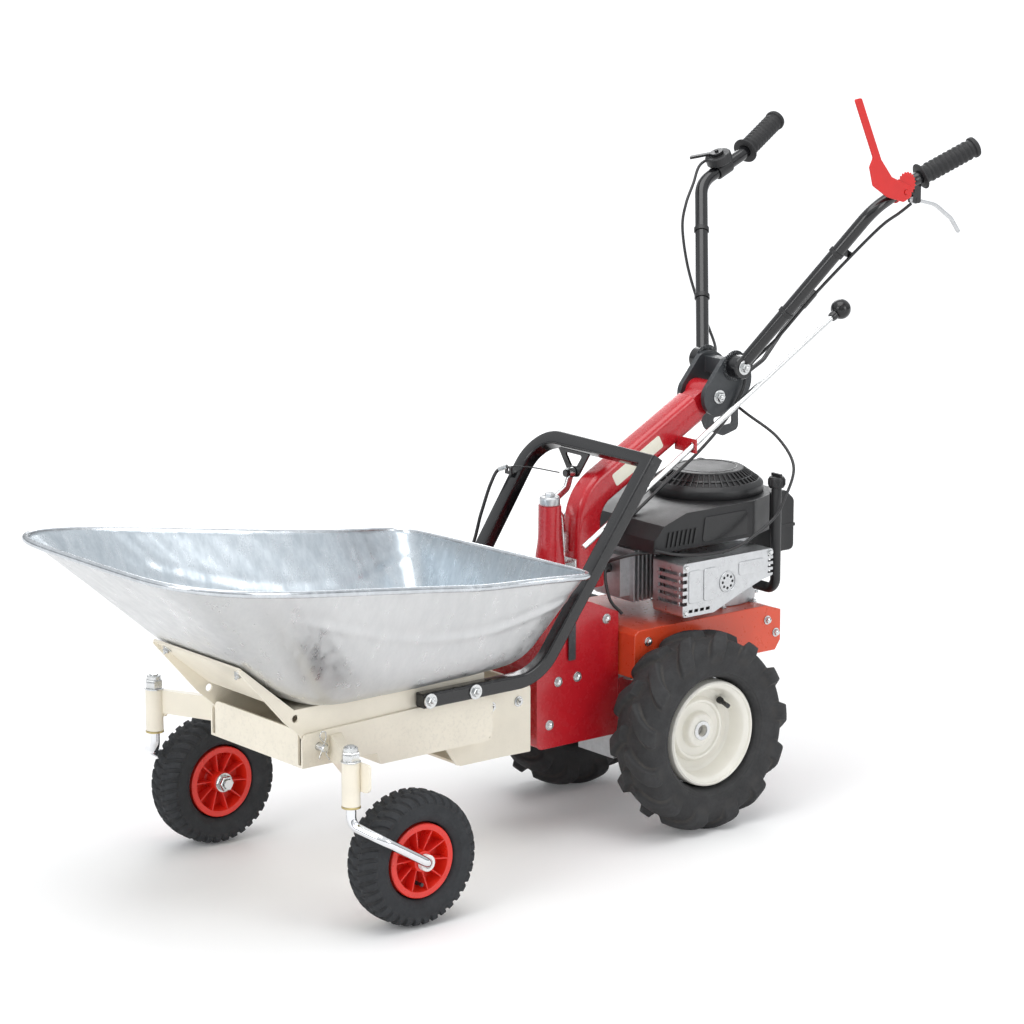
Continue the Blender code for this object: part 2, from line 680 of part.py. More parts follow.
def drive_belt():
    """Closed belt round the two pulleys, standing clear of both, as with the clutch let go."""
    clearance, thickness, bottom, top = .0008, .007, .2895, .3005
    front, rear = GEARBOX_PULLEY_R + clearance, ENGINE_PULLEY_R + clearance
    lean = math.degrees(math.asin((front - rear) / (ENGINE_XY[1] - WORM_XY[1])))

    def outline(offset):
        return (arc(*WORM_XY, front + offset, 180 - lean, 360 + lean, 8)
                + arc(*ENGINE_XY, rear + offset, lean, 180 - lean, 8))
    mesh = bmesh.new()
    corners = (0, bottom), (thickness, bottom), (thickness, top), (0, top)
    rows = [[mesh.verts.new((x, y, z)) for x, y in outline(offset)] for offset, z in corners]
    for i in range(4):
        bridge(mesh, rows[i], rows[(i + 1) % 4])
    bmesh.ops.recalc_face_normals(mesh, faces=mesh.faces)
    return mesh


add("drive_belt", "belt_rubber", drive_belt())

# ---------------------------------------------------------------- deck, guard and mast
# Folded trays: (y, z) outlines of the outside and of what is taken out of it
SHEET = .003
DECK_X = .12                     # half width
DECK_OUTER = [(-.1, .268), (-.1, .344), (-.090, .352), (.200, .352), (.237, .340),
              (.237, .285), (.225, .268)]
DECK_INNER = [(-.097, .20), (-.097, .3432), (-.0888, .349), (.1993, .349), (.234, .3378),
              (.234, .2858), (.2225, .20)]
add_fused("engine_deck", "orange_paint", [prism(DECK_OUTER, "X", -DECK_X, DECK_X)],
          [prism(DECK_INNER, "X", SHEET - DECK_X, DECK_X - SHEET),
           cylinder_z(ENGINE_XY, (.3, .4), .0205, 16)])

GUARD_X = .08                    # half width
GUARD_OUTER = [(-.282, .164), (-.282, .300), (-.262, .345), (-.225, .390), (-.195, .405),
               (-.165, .407), (-.1025, .380), (-.1025, .164)]
GUARD_INNER = [(-.279, .10), (-.279, .2994), (-.2595, .3435), (-.2233, .3877),
               (-.1943, .4021), (-.1656, .4039), (-.10, .377), (-.08, .377), (-.08, .10)]
add_fused("front_guard", "red_paint", [prism(GUARD_OUTER, "X", -GUARD_X, GUARD_X)],
          [prism(GUARD_INNER, "X", SHEET - GUARD_X, GUARD_X - SHEET)])

# Stepped post on the front guard
MAST = [(0, .4085), (.030, .4085), (.030, .414), (.0255, .420), (.0255, .470), (.0195, .520),
        (.0195, .574), (.0165, .5745), (.0165, .590), (.013, .5955), (0, .5965)]
add("mast", "red_paint", lathe(MAST, (.030, -.214, 0), AXIS_Z, 14))

# ---------------------------------------------------------------- steering column
# Small plate and peg in front of the column, for the latch hook
add_fused("latch_striker", "zinc_steel",
          [box((-.020, .020), (-.1505, -.1467), (.448, .468)),
           cylinder((-.006, -.149, .460), (-.006, -.170, .460), .004, 8)])

BAR_YZ = (.160, .7165)           # barrel that the handlebar clamp tilts on
BAR = (0, *BAR_YZ)
GEAR_X = .06


def gear_point(y):
    """A point on the gear rod's centre line."""
    return Vector((GEAR_X, y, .481 + (y + .194) * .5913))


# Bent column, barrel, web under the barrel and an ear that guides the gear rod
column_path = fillet_path([(0, -.118, .412), (0, -.118, .5655), (0, .125, .6974)], [.07], 3)
BARREL_WEB = [(.100, .670), (.110, .712), (.150, .735), (.165, .700), (.120, .668)]
add_fused("steering_column", "red_paint",
          [sweep(column_path, cut_corner_rect(.056, .044, .012), up=AXIS_Y),
           cylinder_x((-.026, .026), BAR_YZ, .025, 16),
           prism(BARREL_WEB, "X", -.018, .018),
           box((.014, .069), (.078, .082), (.631, .655))],
          [cylinder_x((-.05, .05), BAR_YZ, .0063, 12),
           cylinder(gear_point(.05), gear_point(.11), .0062, 10)])

# ---------------------------------------------------------------- engine
ENGINE_BASE = (*ENGINE_XY, 0)
CRANK_PIVOT = (*ENGINE_XY, .3)
FIN_COUNT = 4
FINS_Y = -.045                   # front face of the first fin
FINS_SPAN = .075                 # from the first fin to the last
fins = []
for k in range(FIN_COUNT):
    y = FINS_Y + FINS_SPAN * k / (FIN_COUNT - 1)
    fins.append(box((-.052, .052), (y, y + .0035), (.382, .474)))
# Crankcase in two steps, cylinder reaching forward, fins and cylinder head
add_fused("engine_block", "cast_alloy",
          [cylinder_z(ENGINE_XY, (.3525, .4035), .088, 18),
           cylinder_z(ENGINE_XY, (.400, .472), .076, 18),
           box((-.032, .032), (FINS_Y, .110), (.392, .466)),
           *fins,
           box((-.040, .040), (-.066, FINS_Y), (.392, .466))],
          [cylinder_z(ENGINE_XY, (.3, .5), .0135, 16)])

# The crankshaft carries the engine pulley at its lower end
CRANKSHAFT = [(0, .284), (ENGINE_PULLEY_R, .284), (ENGINE_PULLEY_R, .304), (.0125, .306),
              (.0125, .512), (0, .512)]
add("crankshaft", "zinc_steel", lathe(CRANKSHAFT, ENGINE_BASE, AXIS_Z, 16), CRANK_PIVOT)
FLYWHEEL = [(.0128, .484), (.072, .484), (.075, .488), (.075, .506), (.0128, .506)]
add("flywheel", "cast_alloy", lathe(FLYWHEEL, ENGINE_BASE, AXIS_Z, 18), CRANK_PIVOT)

# Cowl: (x, y) plans of the outside and of the rear hollow, (y, z) outlines of the sloping
# front cut and of the front hollow
COWL_PLAN = [(.125, -.060), (.125, .165), (.100, .225), (.055, .262),
             (-.055, .262), (-.100, .225), (-.125, .165), (-.125, -.060)]
COWL_REAR = [(.122, .070), (.122, .1642), (.0977, .2226), (.0540, .259),
             (-.0540, .259), (-.0977, .2226), (-.122, .1642), (-.122, .070)]
COWL_SLOPE = [(-.080, .482), (-.040, .528), (.0247, .550), (.0247, .57), (-.08, .57)]
COWL_FRONT = [(-.057, .470), (-.057, .5040), (-.0385, .5252), (.0115, .5418), (.080, .5418),
              (.080, .470)]
add_fused("engine_cowl", "black_plastic", [prism(COWL_PLAN, "Z", .482, .545)],
          [prism(COWL_SLOPE, "X", -.13, .13),
           prism(COWL_REAR, "Z", .470, .542),
           prism(COWL_FRONT, "X", -.1218, .1218),
           cylinder_z(ENGINE_XY, (.5, .6), .080, 18)])

STARTER_COVER = [(.100, .5454), (.100, .5604), (.092, .5680), (.066, .5860), (.060, .5870),
                 (0, .5870), (0, .5840), (.0595, .5840), (.0645, .5832), (.0905, .5655),
                 (.097, .5590), (.097, .5454)]
add("starter_cover", "black_plastic", lathe(STARTER_COVER, ENGINE_BASE, AXIS_Z, 20))

TANK = [(.2650, .425), (.2650, .535), (.302, .535), (.322, .517), (.322, .425)]
add("fuel_tank", "black_plastic", prism(TANK, "X", -.095, .060))

MUFFLER = [(-.015, .384), (-.015, .454), (.166, .454), (.166, .426), (.104, .408), (.045, .384)]
add("muffler", "cast_alloy", prism(MUFFLER, "X", .1000, .1500))

# Tray over the muffler, open towards the engine
MUFFLER_GUARD_OUTER = [(-.027, .372), (-.027, .466), (.180, .466), (.180, .418),
                       (.155, .413), (.105, .396), (.044, .372)]
MUFFLER_GUARD_INNER = [(-.024, .375), (-.024, .463), (.177, .463), (.177, .4206),
                       (.1543, .4160), (.1042, .3990), (.0434, .375)]
add_fused("muffler_guard", "cast_alloy", [prism(MUFFLER_GUARD_OUTER, "X", .082, .1600)],
          [prism(MUFFLER_GUARD_INNER, "X", .07, .1575)])

FILLER_XY = (.138, .206)
filler_path = fillet_path([(.0875, .206, .384), (*FILLER_XY, .384), (*FILLER_XY, .574)],
                          [.02], 2)
add_fused("oil_filler", "black_plastic",
          [sweep(filler_path, circle(.009, 10), up=AXIS_Y),
           cylinder_z(FILLER_XY, (.566, .586), .0145, 10)])

# ---------------------------------------------------------------- handlebars
CLAMP_YZ = (.192, .742)          # centre of the clamp cheeks' upper lobe
ADJUST_YZ = (.222, .735)         # cross pin of the adjusting lever
CLUTCH = (.2235, .440, 1.059)    # clutch lever pin, under the left bar
GRIP_START, GRIP_END = Vector((.2268, .4495, 1.0980)), Vector((.2545, .545, 1.1425))

cheek = arc(*CLAMP_YZ, .044, -80, 120, 8) + arc(*BAR_YZ, .034, 150, 265, 4)
# Two cheeks, the block between them and two cross pins
add_fused("column_clamp", "grey_paint",
          plate_pair(cheek, .0265, .0365)
          + [box((-.030, .030), (.182, .204), (.750, .778)),
             cylinder_x((-.030, .030), ADJUST_YZ, .005, 10),
             cylinder_x((-.030, .030), BAR_YZ, .006, 10)],
          pivot=BAR)


def handlebar(side):
    """Bent bar with a collar at its root; the left one has two lugs for the clutch lever."""
    path = fillet_path([(.050, .197, .768), (.2235, .342, 1.050), (.2235, .4381, 1.0927),
                        (.2539, .5431, 1.1416)], [.060, .04], 2)
    shapes = [sweep(path, circle(.0115, 10), up=AXIS_Y),
              cylinder_x((.0371, .062), (.195, .768), .021, 14)]
    if side == "left":
        x, y, z = CLUTCH
        for lug in ((x - .0080, x - .0050), (x + .0050, x + .0080)):
            shapes.append(box(lug, (y - .008, y + .008), (z - .006, z + .030)))
        shapes.append(cylinder_x((x - .0075, x + .0075), (y, z), .0035, 10))
    return [on_side(side, shape) for shape in shapes]


GRIP = [(0, .1165), (.0121, .1165), (.0121, 0), (.023, 0), (.0235, .003), (.0175, .0055),
        (.0155, .012), (.0175, .055), (.0155, .100), (.0175, .114), (.014, .1195), (0, .1205)]
for side in ("left", "right"):
    grip = lathe(GRIP, GRIP_START, GRIP_END - GRIP_START, 12)
    add_fused("handlebar_" + side, "black_paint", handlebar(side), pivot=BAR)
    add("grip_" + side, "grip_rubber", on_side(side, grip), BAR)

# ---------------------------------------------------------------- controls
STOP_YZ = (.400, 1.077)          # stop lever pin, beside the left bar
QUADRANT_X = (.2365, .2395)
QUADRANT_YZ = (.406, 1.090)
QUADRANT_POINTS = 24             # alternately on the crest and root radii
quadrant_outline = []
for k in range(QUADRANT_POINTS):
    angle = math.radians(360 * k / QUADRANT_POINTS)
    radius = .0215 if k % 2 else .0182
    quadrant_outline.append((QUADRANT_YZ[0] + radius * math.cos(angle),
                             QUADRANT_YZ[1] + radius * math.sin(angle)))
add_fused("lever_quadrant", "red_paint",
          [prism(quadrant_outline, "X", *QUADRANT_X),
           cylinder_x((QUADRANT_X[0], .2455), STOP_YZ, .004, 8)], pivot=BAR)

STOP_BLADE = [(.275, 1.245), (.291, 1.247), (.302, 1.222), (.340, 1.138), (.366, 1.106),
              (.394, 1.094), (.412, 1.086), (.414, 1.068), (.395, 1.060), (.356, 1.072),
              (.322, 1.094), (.313, 1.127), (.321, 1.142)]
add_fused("stop_lever", "red_paint", [prism(STOP_BLADE, "X", .2402, .2440)],
          [cylinder_x((.23, .25), STOP_YZ, .0044, 10)], (.242, *STOP_YZ))

clutch_x = CLUTCH[0]
clutch_path = fillet_path([CLUTCH, (clutch_x, .490, 1.046), (clutch_x, .530, 1.018),
                           (clutch_x, .549, .993)], [.05, .03], 2)
add_fused("clutch_lever", "cast_alloy",
          [sweep(clutch_path, cut_corner_rect(.006, .0078, .0015)),
           cylinder_x((clutch_x - .0038, clutch_x + .0038), CLUTCH[1:], .0075, 12)],
          [cylinder_x((clutch_x - .01, clutch_x + .01), CLUTCH[1:], .0039, 12)], CLUTCH)

# Throttle on top of the right bar: a round housing with a pin, and a lever turning on it
THROTTLE = Vector((-.2235, .392, 1.0722))
THROTTLE_UP = Vector((0, -.4061, .9138))     # square to the bar
THROTTLE_BACK = Vector((0, .9138, .4061))    # along the bar
add_fused("throttle_housing", "black_plastic",
          [cylinder(THROTTLE + THROTTLE_UP * .0121, THROTTLE + THROTTLE_UP * .0290, .024, 14),
           cylinder(THROTTLE + THROTTLE_UP * .028, THROTTLE + THROTTLE_UP * .0375, .0035, 10)],
          pivot=BAR)

hub = THROTTLE + THROTTLE_UP * .0295
mid_height = THROTTLE_UP * .0025
lever_root = hub + Vector((-.006, 0, 0)) - THROTTLE_BACK * .004 + mid_height
lever_tip = hub + Vector((-.043, 0, 0)) - THROTTLE_BACK * .028 + mid_height
add_fused("throttle_lever", "black_plastic",
          [cylinder(hub, hub + THROTTLE_UP * .0050, .012, 12),
           sweep([lever_root, lever_tip], cut_corner_rect(.0045, .009, .001), up=THROTTLE_UP)],
          [cylinder(hub - THROTTLE_UP * .01, hub + THROTTLE_UP * .01, .0039, 10)], THROTTLE)

# Gear rod with a ball knob at its rear end
KNOB_RADIUS = .018
rod_front, knob_center = gear_point(-.165), gear_point(.425)
rod_direction = (knob_center - rod_front).normalized()
knob_profile = [(0, -KNOB_RADIUS), *arc(0, 0, KNOB_RADIUS, -90, 90, 6)[1:-1], (0, KNOB_RADIUS)]
add_fused("gear_rod", "zinc_steel",
          [cylinder(rod_front, knob_center - rod_direction * .010, .005, 8),
           lathe(knob_profile, knob_center, rod_direction, 12)], pivot=gear_point(0))

ADJUST = (.012, *ADJUST_YZ)
adjust_path = fillet_path([ADJUST, (.012, .285, .765), (.012, .330, .812),
                           (.012, .407, .874)], [.03, .03], 2)
add_fused("adjust_lever", "black_paint",
          [sweep(adjust_path, circle(.004, 8), up=AXIS_X),
           cylinder_x((.006, .018), ADJUST_YZ, .010, 12)],
          [cylinder_x((0, .03), ADJUST_YZ, .0055, 12)], ADJUST)
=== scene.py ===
"""Looks of a power wheelbarrow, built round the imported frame.

Metres, +Z up, ground at z = 0. The tub's nose points to -Y (front), the operator stands behind
the handlebars at +Y, and +X is the operator's left. Points are written with the drive axle at
y = 0, and ORIGIN moves every piece to the axle's place in the frame.
"""
import math

import bmesh
import bpy
from mathutils import Matrix, Vector


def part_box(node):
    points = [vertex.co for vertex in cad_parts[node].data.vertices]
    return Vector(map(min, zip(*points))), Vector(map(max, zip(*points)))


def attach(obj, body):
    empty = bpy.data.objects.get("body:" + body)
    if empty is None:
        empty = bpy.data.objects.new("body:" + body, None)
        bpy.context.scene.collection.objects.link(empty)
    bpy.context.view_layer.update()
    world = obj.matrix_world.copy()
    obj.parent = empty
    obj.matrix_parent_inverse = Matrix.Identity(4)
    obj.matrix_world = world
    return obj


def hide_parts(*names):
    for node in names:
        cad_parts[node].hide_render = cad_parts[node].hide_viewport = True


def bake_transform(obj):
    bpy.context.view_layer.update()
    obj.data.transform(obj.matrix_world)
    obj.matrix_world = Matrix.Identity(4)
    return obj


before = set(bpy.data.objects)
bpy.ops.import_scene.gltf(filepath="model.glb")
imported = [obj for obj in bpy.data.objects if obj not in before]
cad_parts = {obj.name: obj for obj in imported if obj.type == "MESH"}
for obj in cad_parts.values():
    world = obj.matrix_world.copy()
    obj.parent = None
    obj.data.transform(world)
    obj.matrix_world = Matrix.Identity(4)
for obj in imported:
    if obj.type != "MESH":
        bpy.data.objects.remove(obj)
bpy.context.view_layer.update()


axle_low, axle_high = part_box("drive_axle")
ORIGIN = Vector((0, (axle_low[1] + axle_high[1]) / 2, 0))
SIDES = ((1, "left"), (-1, "right"))  # sign of x, name
UP = (0, 0, 1)
LEFT = (1, 0, 0)
MIRROR_X = Matrix.Scale(-1, 4, (1, 0, 0))


# ---------------------------------------------------------------- outlines and paths
def arc(cx, cy, radius, start, end, steps):
    """steps + 1 points on a circle, between two angles in degrees."""
    angles = [math.radians(start + (end - start) * i / steps) for i in range(steps + 1)]
    return [(cx + radius * math.cos(a), cy + radius * math.sin(a)) for a in angles]


def fillet_path(points, radii, steps):
    """A 3-D polyline with rounded inner corners; radii has one value per inner corner."""
    points = [Vector(p) for p in points]
    path = [points[0]]
    for i, radius in enumerate(radii, 1):
        corner = points[i]
        back, ahead = points[i - 1] - corner, points[i + 1] - corner
        room = min(back.length * 0.49, ahead.length * 0.49)
        back.normalize()
        ahead.normalize()
        angle = back.angle(ahead)
        reach = radius / math.tan(angle / 2) if angle < math.pi - 1e-3 else 0.0
        reach = min(reach, room)
        if reach < 1e-6:
            path.append(corner)
            continue
        fitted = reach * math.tan(angle / 2)
        centre = corner + (back + ahead).normalized() * (fitted / math.sin(angle / 2))
        start, end = corner + back * reach - centre, corner + ahead * reach - centre
        turn = start.angle(end)
        axis = start.cross(end).normalized()
        for k in range(steps + 1):
            path.append(centre + Matrix.Rotation(turn * k / steps, 3, axis) @ start)
    path.append(points[-1])
    return path


def smooth_path(points, count):
    """count points along a Catmull-Rom curve through the given ones."""
    points = [Vector(p) for p in points]
    spans = len(points) - 1
    path = []
    for k in range(count):
        u = spans * k / (count - 1)
        i = min(int(u), spans - 1)
        t = u - i
        b, c = points[i], points[i + 1]
        a = points[i - 1] if i else points[0] * 2 - points[1]
        d = points[i + 2] if i + 2 <= spans else points[spans] * 2 - points[spans - 1]
        path.append(0.5 * (2 * b + (c - a) * t + (2 * a - 5 * b + 4 * c - d) * t * t
                           + (3 * b - a - 3 * c + d) * t ** 3))
    return path


def circle(radius, segments):
    turns = [2 * math.pi * k / segments for k in range(segments)]
    return [(radius * math.cos(a), radius * math.sin(a)) for a in turns]


def rectangle(a0, a1, b0, b1):
    return [(a0, b0), (a1, b0), (a1, b1), (a0, b1)]


def rounded_rect(width, height, radius, steps):
    """A section centred on 0 with equal corner arcs."""
    x, y = width / 2 - radius, height / 2 - radius
    out = []
    for cx, cy, start in ((x, y, 0), (-width / 2 + radius, y, 90),
                          (-width / 2 + radius, -height / 2 + radius, 180),
                          (x, -height / 2 + radius, 270)):
        out += arc(cx, cy, radius, start, start + 90, steps)
    return out


def rounded(outline, radii, steps=6):
    """A polygon with rounded corners; radii is one value, or a list with one per corner."""
    points = [Vector((a, b, 0)) for a, b in outline]
    if not isinstance(radii, list):
        radii = [radii] * len(points)
    out = []
    for i, (corner, radius) in enumerate(zip(points, radii)):
        if radius <= 0:
            out.append((corner.x, corner.y))
            continue
        before, after = points[i - 1], points[(i + 1) % len(points)]
        path = fillet_path([corner + (before - corner) * .5, corner,
                            corner + (after - corner) * .5], [radius], steps)
        out += [(v.x, v.y) for v in path[1:-1]]
    return out


# ---------------------------------------------------------------- solids
def box(x0, x1, y0, y1, z0, z1):
    bm = bmesh.new()
    bmesh.ops.create_cube(bm, size=1.0)
    for v in bm.verts:
        v.co = Vector(((x0 + x1) / 2 + v.co.x * (x1 - x0),
                       (y0 + y1) / 2 + v.co.y * (y1 - y0),
                       (z0 + z1) / 2 + v.co.z * (z1 - z0)))
    return bm


def prism(outline, axis, low, high):
    """Extrudes a polygon. Axis X takes (y, z) points, Y takes (x, z), Z takes (x, y)."""
    def place(p, h):
        return {"X": (h, p[0], p[1]), "Y": (p[0], h, p[1]), "Z": (p[0], p[1], h)}[axis]
    bm = bmesh.new()
    first = [bm.verts.new(place(p, low)) for p in outline]
    last = [bm.verts.new(place(p, high)) for p in outline]
    n = len(outline)
    bm.faces.new(first)
    bm.faces.new(list(reversed(last)))
    for i in range(n):
        bm.faces.new((first[i], last[i], last[(i + 1) % n], first[(i + 1) % n]))
    bmesh.ops.recalc_face_normals(bm, faces=bm.faces)
    return bm


def plate(outline, radii, axis, low, high, steps=6):
    """A prism with rounded corners."""
    return prism(rounded(outline, radii, steps), axis, low, high)


def span(side, inner, outer):
    """Low and high x of something between two distances from the centre plane."""
    return sorted((side * inner, side * outer))


def lathe(profile, origin, axis, segments, phase=0.0):
    """Turns a closed (radius, height) loop about an axis. A point at radius 0 is a pole."""
    along = Vector(axis).normalized()
    helper = Vector((0, 0, 1)) if abs(along.z) < 0.9 else Vector((1, 0, 0))
    across = helper.cross(along).normalized()
    third = along.cross(across).normalized()
    origin = Vector(origin)
    bm = bmesh.new()
    rings = []
    for radius, height in profile:
        if radius < 1e-9:
            rings.append([bm.verts.new(origin + along * height)] * segments)
            continue
        turns = [2 * math.pi * (k + phase) / segments for k in range(segments)]
        rings.append([bm.verts.new(origin + along * height
                                   + (across * math.cos(t) + third * math.sin(t)) * radius)
                      for t in turns])
    n = len(rings)
    closed = not (profile[0][0] < 1e-9 and profile[-1][0] < 1e-9)
    for i in range(n if closed else n - 1):
        p, q = rings[i], rings[(i + 1) % n]
        for k in range(segments):
            corners = []
            for v in (p[k], p[(k + 1) % segments], q[(k + 1) % segments], q[k]):
                if v not in corners:
                    corners.append(v)
            if len(corners) > 2:
                bm.faces.new(corners)
    bmesh.ops.recalc_face_normals(bm, faces=bm.faces)
    return bm


def cylinder(start, end, radius, segments):
    start, end = Vector(start), Vector(end)
    height = (end - start).length
    return lathe([(0, 0), (radius, 0), (radius, height), (0, height)],
                 start, end - start, segments)


def cylinder_x(x0, x1, y, z, radius, segments):
    return cylinder((x0, y, z), (x1, y, z), radius, segments)


def cylinder_z(x, y, z0, z1, radius, segments):
    return cylinder((x, y, z0), (x, y, z1), radius, segments)


def ring(start, end, outer, inner, segments):
    start, end = Vector(start), Vector(end)
    height = (end - start).length
    return lathe([(inner, 0), (outer, 0), (outer, height), (inner, height)],
                 start, end - start, segments)


def cross_frames(path, up):
    """Two cross directions at each point of a path, carried along without twist."""
    n = len(path)
    tangents = [(path[min(i + 1, n - 1)] - path[max(i - 1, 0)]).normalized() for i in range(n)]
    u = Vector(up)
    u = (u - tangents[0] * u.dot(tangents[0])).normalized()
    out = []
    for i, tangent in enumerate(tangents):
        if i:
            axis = tangents[i - 1].cross(tangent)
            if axis.length > 1e-9:
                turn = tangents[i - 1].angle(tangent)
                u = Matrix.Rotation(turn, 3, axis.normalized()) @ u
            u = (u - tangent * u.dot(tangent)).normalized()
        out.append((u, tangent.cross(u).normalized()))
    return out


def mitre(path, i):
    """Direction and amount a section stretches at a bend so that the tube keeps its width."""
    if i == 0 or i == len(path) - 1:
        return None, 1.0
    a = (path[i] - path[i - 1]).normalized()
    b = (path[i + 1] - path[i]).normalized()
    angle = a.angle(b)
    if angle < 1e-4:
        return None, 1.0
    return (b - a).normalized(), 1 / math.cos(angle / 2)


def sweep(path, section, up=UP, inner=None, scale=None):
    """Sweeps a closed section along a path.

    inner is a second section that makes it a tube open at both ends, and scale has one
    factor per path point.
    """
    path = [Vector(p) for p in path]
    directions = cross_frames(path, up)
    bm = bmesh.new()

    def skin(outline):
        rows = []
        for i, p in enumerate(path):
            u, w = directions[i]
            bend, stretch = mitre(path, i)
            size = scale[i] if scale else 1.0
            row = []
            for a, b in outline:
                offset = (u * a + w * b) * size
                if bend is not None:
                    offset = offset + bend * (offset.dot(bend) * (stretch - 1))
                row.append(bm.verts.new(p + offset))
            rows.append(row)
        m = len(outline)
        for p, q in zip(rows, rows[1:]):
            for j in range(m):
                bm.faces.new((p[j], p[(j + 1) % m], q[(j + 1) % m], q[j]))
        return rows

    outside = skin(section)
    if inner is None:
        bm.faces.new(list(reversed(outside[0])))
        bm.faces.new(outside[-1])
    else:
        inside = skin(inner)
        m = len(section)
        for end in (0, -1):
            p, q = outside[end], inside[end]
            for j in range(m):
                bm.faces.new((p[j], p[(j + 1) % m], q[(j + 1) % m], q[j]))
    bmesh.ops.recalc_face_normals(bm, faces=bm.faces)
    return bm


def join(*shapes):
    """Puts several shapes in one bmesh without merging them."""
    out = shapes[0]
    for shape in shapes[1:]:
        mesh = bpy.data.meshes.new("tmp")
        shape.to_mesh(mesh)
        shape.free()
        out.from_mesh(mesh)
        bpy.data.meshes.remove(mesh)
    return out


def mirror_x(bm):
    """The same shape on the machine's other side."""
    bmesh.ops.transform(bm, matrix=MIRROR_X, verts=bm.verts)
    bmesh.ops.reverse_faces(bm, faces=bm.faces)
    return bm


def make(name, bm):
    mesh = bpy.data.meshes.new(name)
    bm.normal_update()
    bm.to_mesh(mesh)
    bm.free()
    ob = bpy.data.objects.new(name, mesh)
    bpy.context.scene.collection.objects.link(ob)
    return ob


def boolean(ob, tool_shape, operation):
    tool = make(ob.name + "_tool", tool_shape)
    modifier = ob.modifiers.new("b", "BOOLEAN")
    modifier.operation = operation
    modifier.solver = "EXACT"
    modifier.object = tool
    bpy.context.view_layer.update()
    graph = bpy.context.evaluated_depsgraph_get()
    result = bpy.data.meshes.new_from_object(ob.evaluated_get(graph))
    ob.modifiers.clear()
    old = ob.data
    ob.data = result
    result.name = ob.name
    bpy.data.meshes.remove(old)
    tool_mesh = tool.data
    bpy.data.objects.remove(tool)
    bpy.data.meshes.remove(tool_mesh)


def fuse(name, shapes, cuts=()):
    """One body from overlapping shapes, less the cuts."""
    ob = make(name, shapes[0])
    for shape in shapes[1:]:
        boolean(ob, shape, "UNION")
    for cut in cuts:
        boolean(ob, cut, "DIFFERENCE")
    return ob


def fuse_side(side, name, shapes, cuts=()):
    """A fused body written for the left, mirrored when the side is right."""
    ob = fuse(name, shapes, cuts)
    if side < 0:
        ob.data.transform(MIRROR_X)
        ob.data.flip_normals()
    return ob


# ---------------------------------------------------------------- shader nodes
class Nodes:
    """Short ways to add nodes to one shader tree. Each returns an output socket."""

    def __init__(self, tree):
        self.tree = tree

    def new(self, kind):
        return self.tree.nodes.new(kind)

    def feed(self, target, value):
        """Links a socket to an input, or sets the input to a number or a colour."""
        if isinstance(value, bpy.types.NodeSocket):
            self.tree.links.new(value, target)
        else:
            target.default_value = (*value, 1) if isinstance(value, tuple) else value

    def object_coords(self, seed=0.0, stretch=None):
        coords = self.new("ShaderNodeTexCoord")
        mapping = self.new("ShaderNodeMapping")
        mapping.inputs["Location"].default_value = (seed, seed * .7, seed * 1.3)
        if stretch:
            mapping.inputs["Scale"].default_value = stretch
        self.feed(mapping.inputs["Vector"], coords.outputs["Object"])
        return mapping.outputs["Vector"]

    def noise(self, scale, detail, rough=.55, stretch=None, seed=0.0):
        coords = self.object_coords(seed, stretch)
        node = self.new("ShaderNodeTexNoise")
        node.inputs["Scale"].default_value = scale
        node.inputs["Detail"].default_value = detail
        node.inputs["Roughness"].default_value = rough
        self.feed(node.inputs["Vector"], coords)
        return node.outputs["Fac"]

    def cells(self, scale, output):
        coords = self.object_coords()
        node = self.new("ShaderNodeTexVoronoi")
        node.inputs["Scale"].default_value = scale
        self.feed(node.inputs["Vector"], coords)
        return node.outputs[output]

    def remap(self, value, from_min, from_max, to_min, to_max):
        node = self.new("ShaderNodeMapRange")
        node.inputs["From Min"].default_value = from_min
        node.inputs["From Max"].default_value = from_max
        node.inputs["To Min"].default_value = to_min
        node.inputs["To Max"].default_value = to_max
        self.feed(node.inputs["Value"], value)
        return node.outputs["Result"]

    def mix(self, factor, a, b):
        node = self.new("ShaderNodeMix")
        node.data_type = "RGBA"
        self.feed(node.inputs["Factor"], factor)
        self.feed(node.inputs[6], a)
        self.feed(node.inputs[7], b)
        return node.outputs[2]

    def add(self, a, b, operation="ADD"):
        node = self.new("ShaderNodeMath")
        node.operation = operation
        self.feed(node.inputs[0], a)
        self.feed(node.inputs[1], b)
        return node.outputs[0]

    def times(self, a, b):
        return self.add(a, b, "MULTIPLY")

    def bump(self, bsdf, height, distance, strength=1.0):
        node = self.new("ShaderNodeBump")
        node.inputs["Distance"].default_value = distance
        node.inputs["Strength"].default_value = strength
        self.feed(node.inputs["Height"], height)
        self.feed(bsdf.inputs["Normal"], node.outputs["Normal"])

    def edges(self, low=.53, high=.60, to_low=0, to_high=1):
        """1 on convex edges; the bounds are in pointiness."""
        node = self.new("ShaderNodeNewGeometry")
        return self.remap(node.outputs["Pointiness"], low, high, to_low, to_high)

    def facing_up(self):
        geometry = self.new("ShaderNodeNewGeometry")
        split = self.new("ShaderNodeSeparateXYZ")
        self.feed(split.inputs[0], geometry.outputs["Normal"])
        return self.remap(split.outputs["Z"], .2, 1, 0, 1)


def new_material(name):
    material = bpy.data.materials.new(name)
    material.use_nodes = True
    tree = material.node_tree
    return material, Nodes(tree), tree.nodes["Principled BSDF"]


def scaled(colour, factor):
    return tuple(min(1, v * factor) for v in colour)


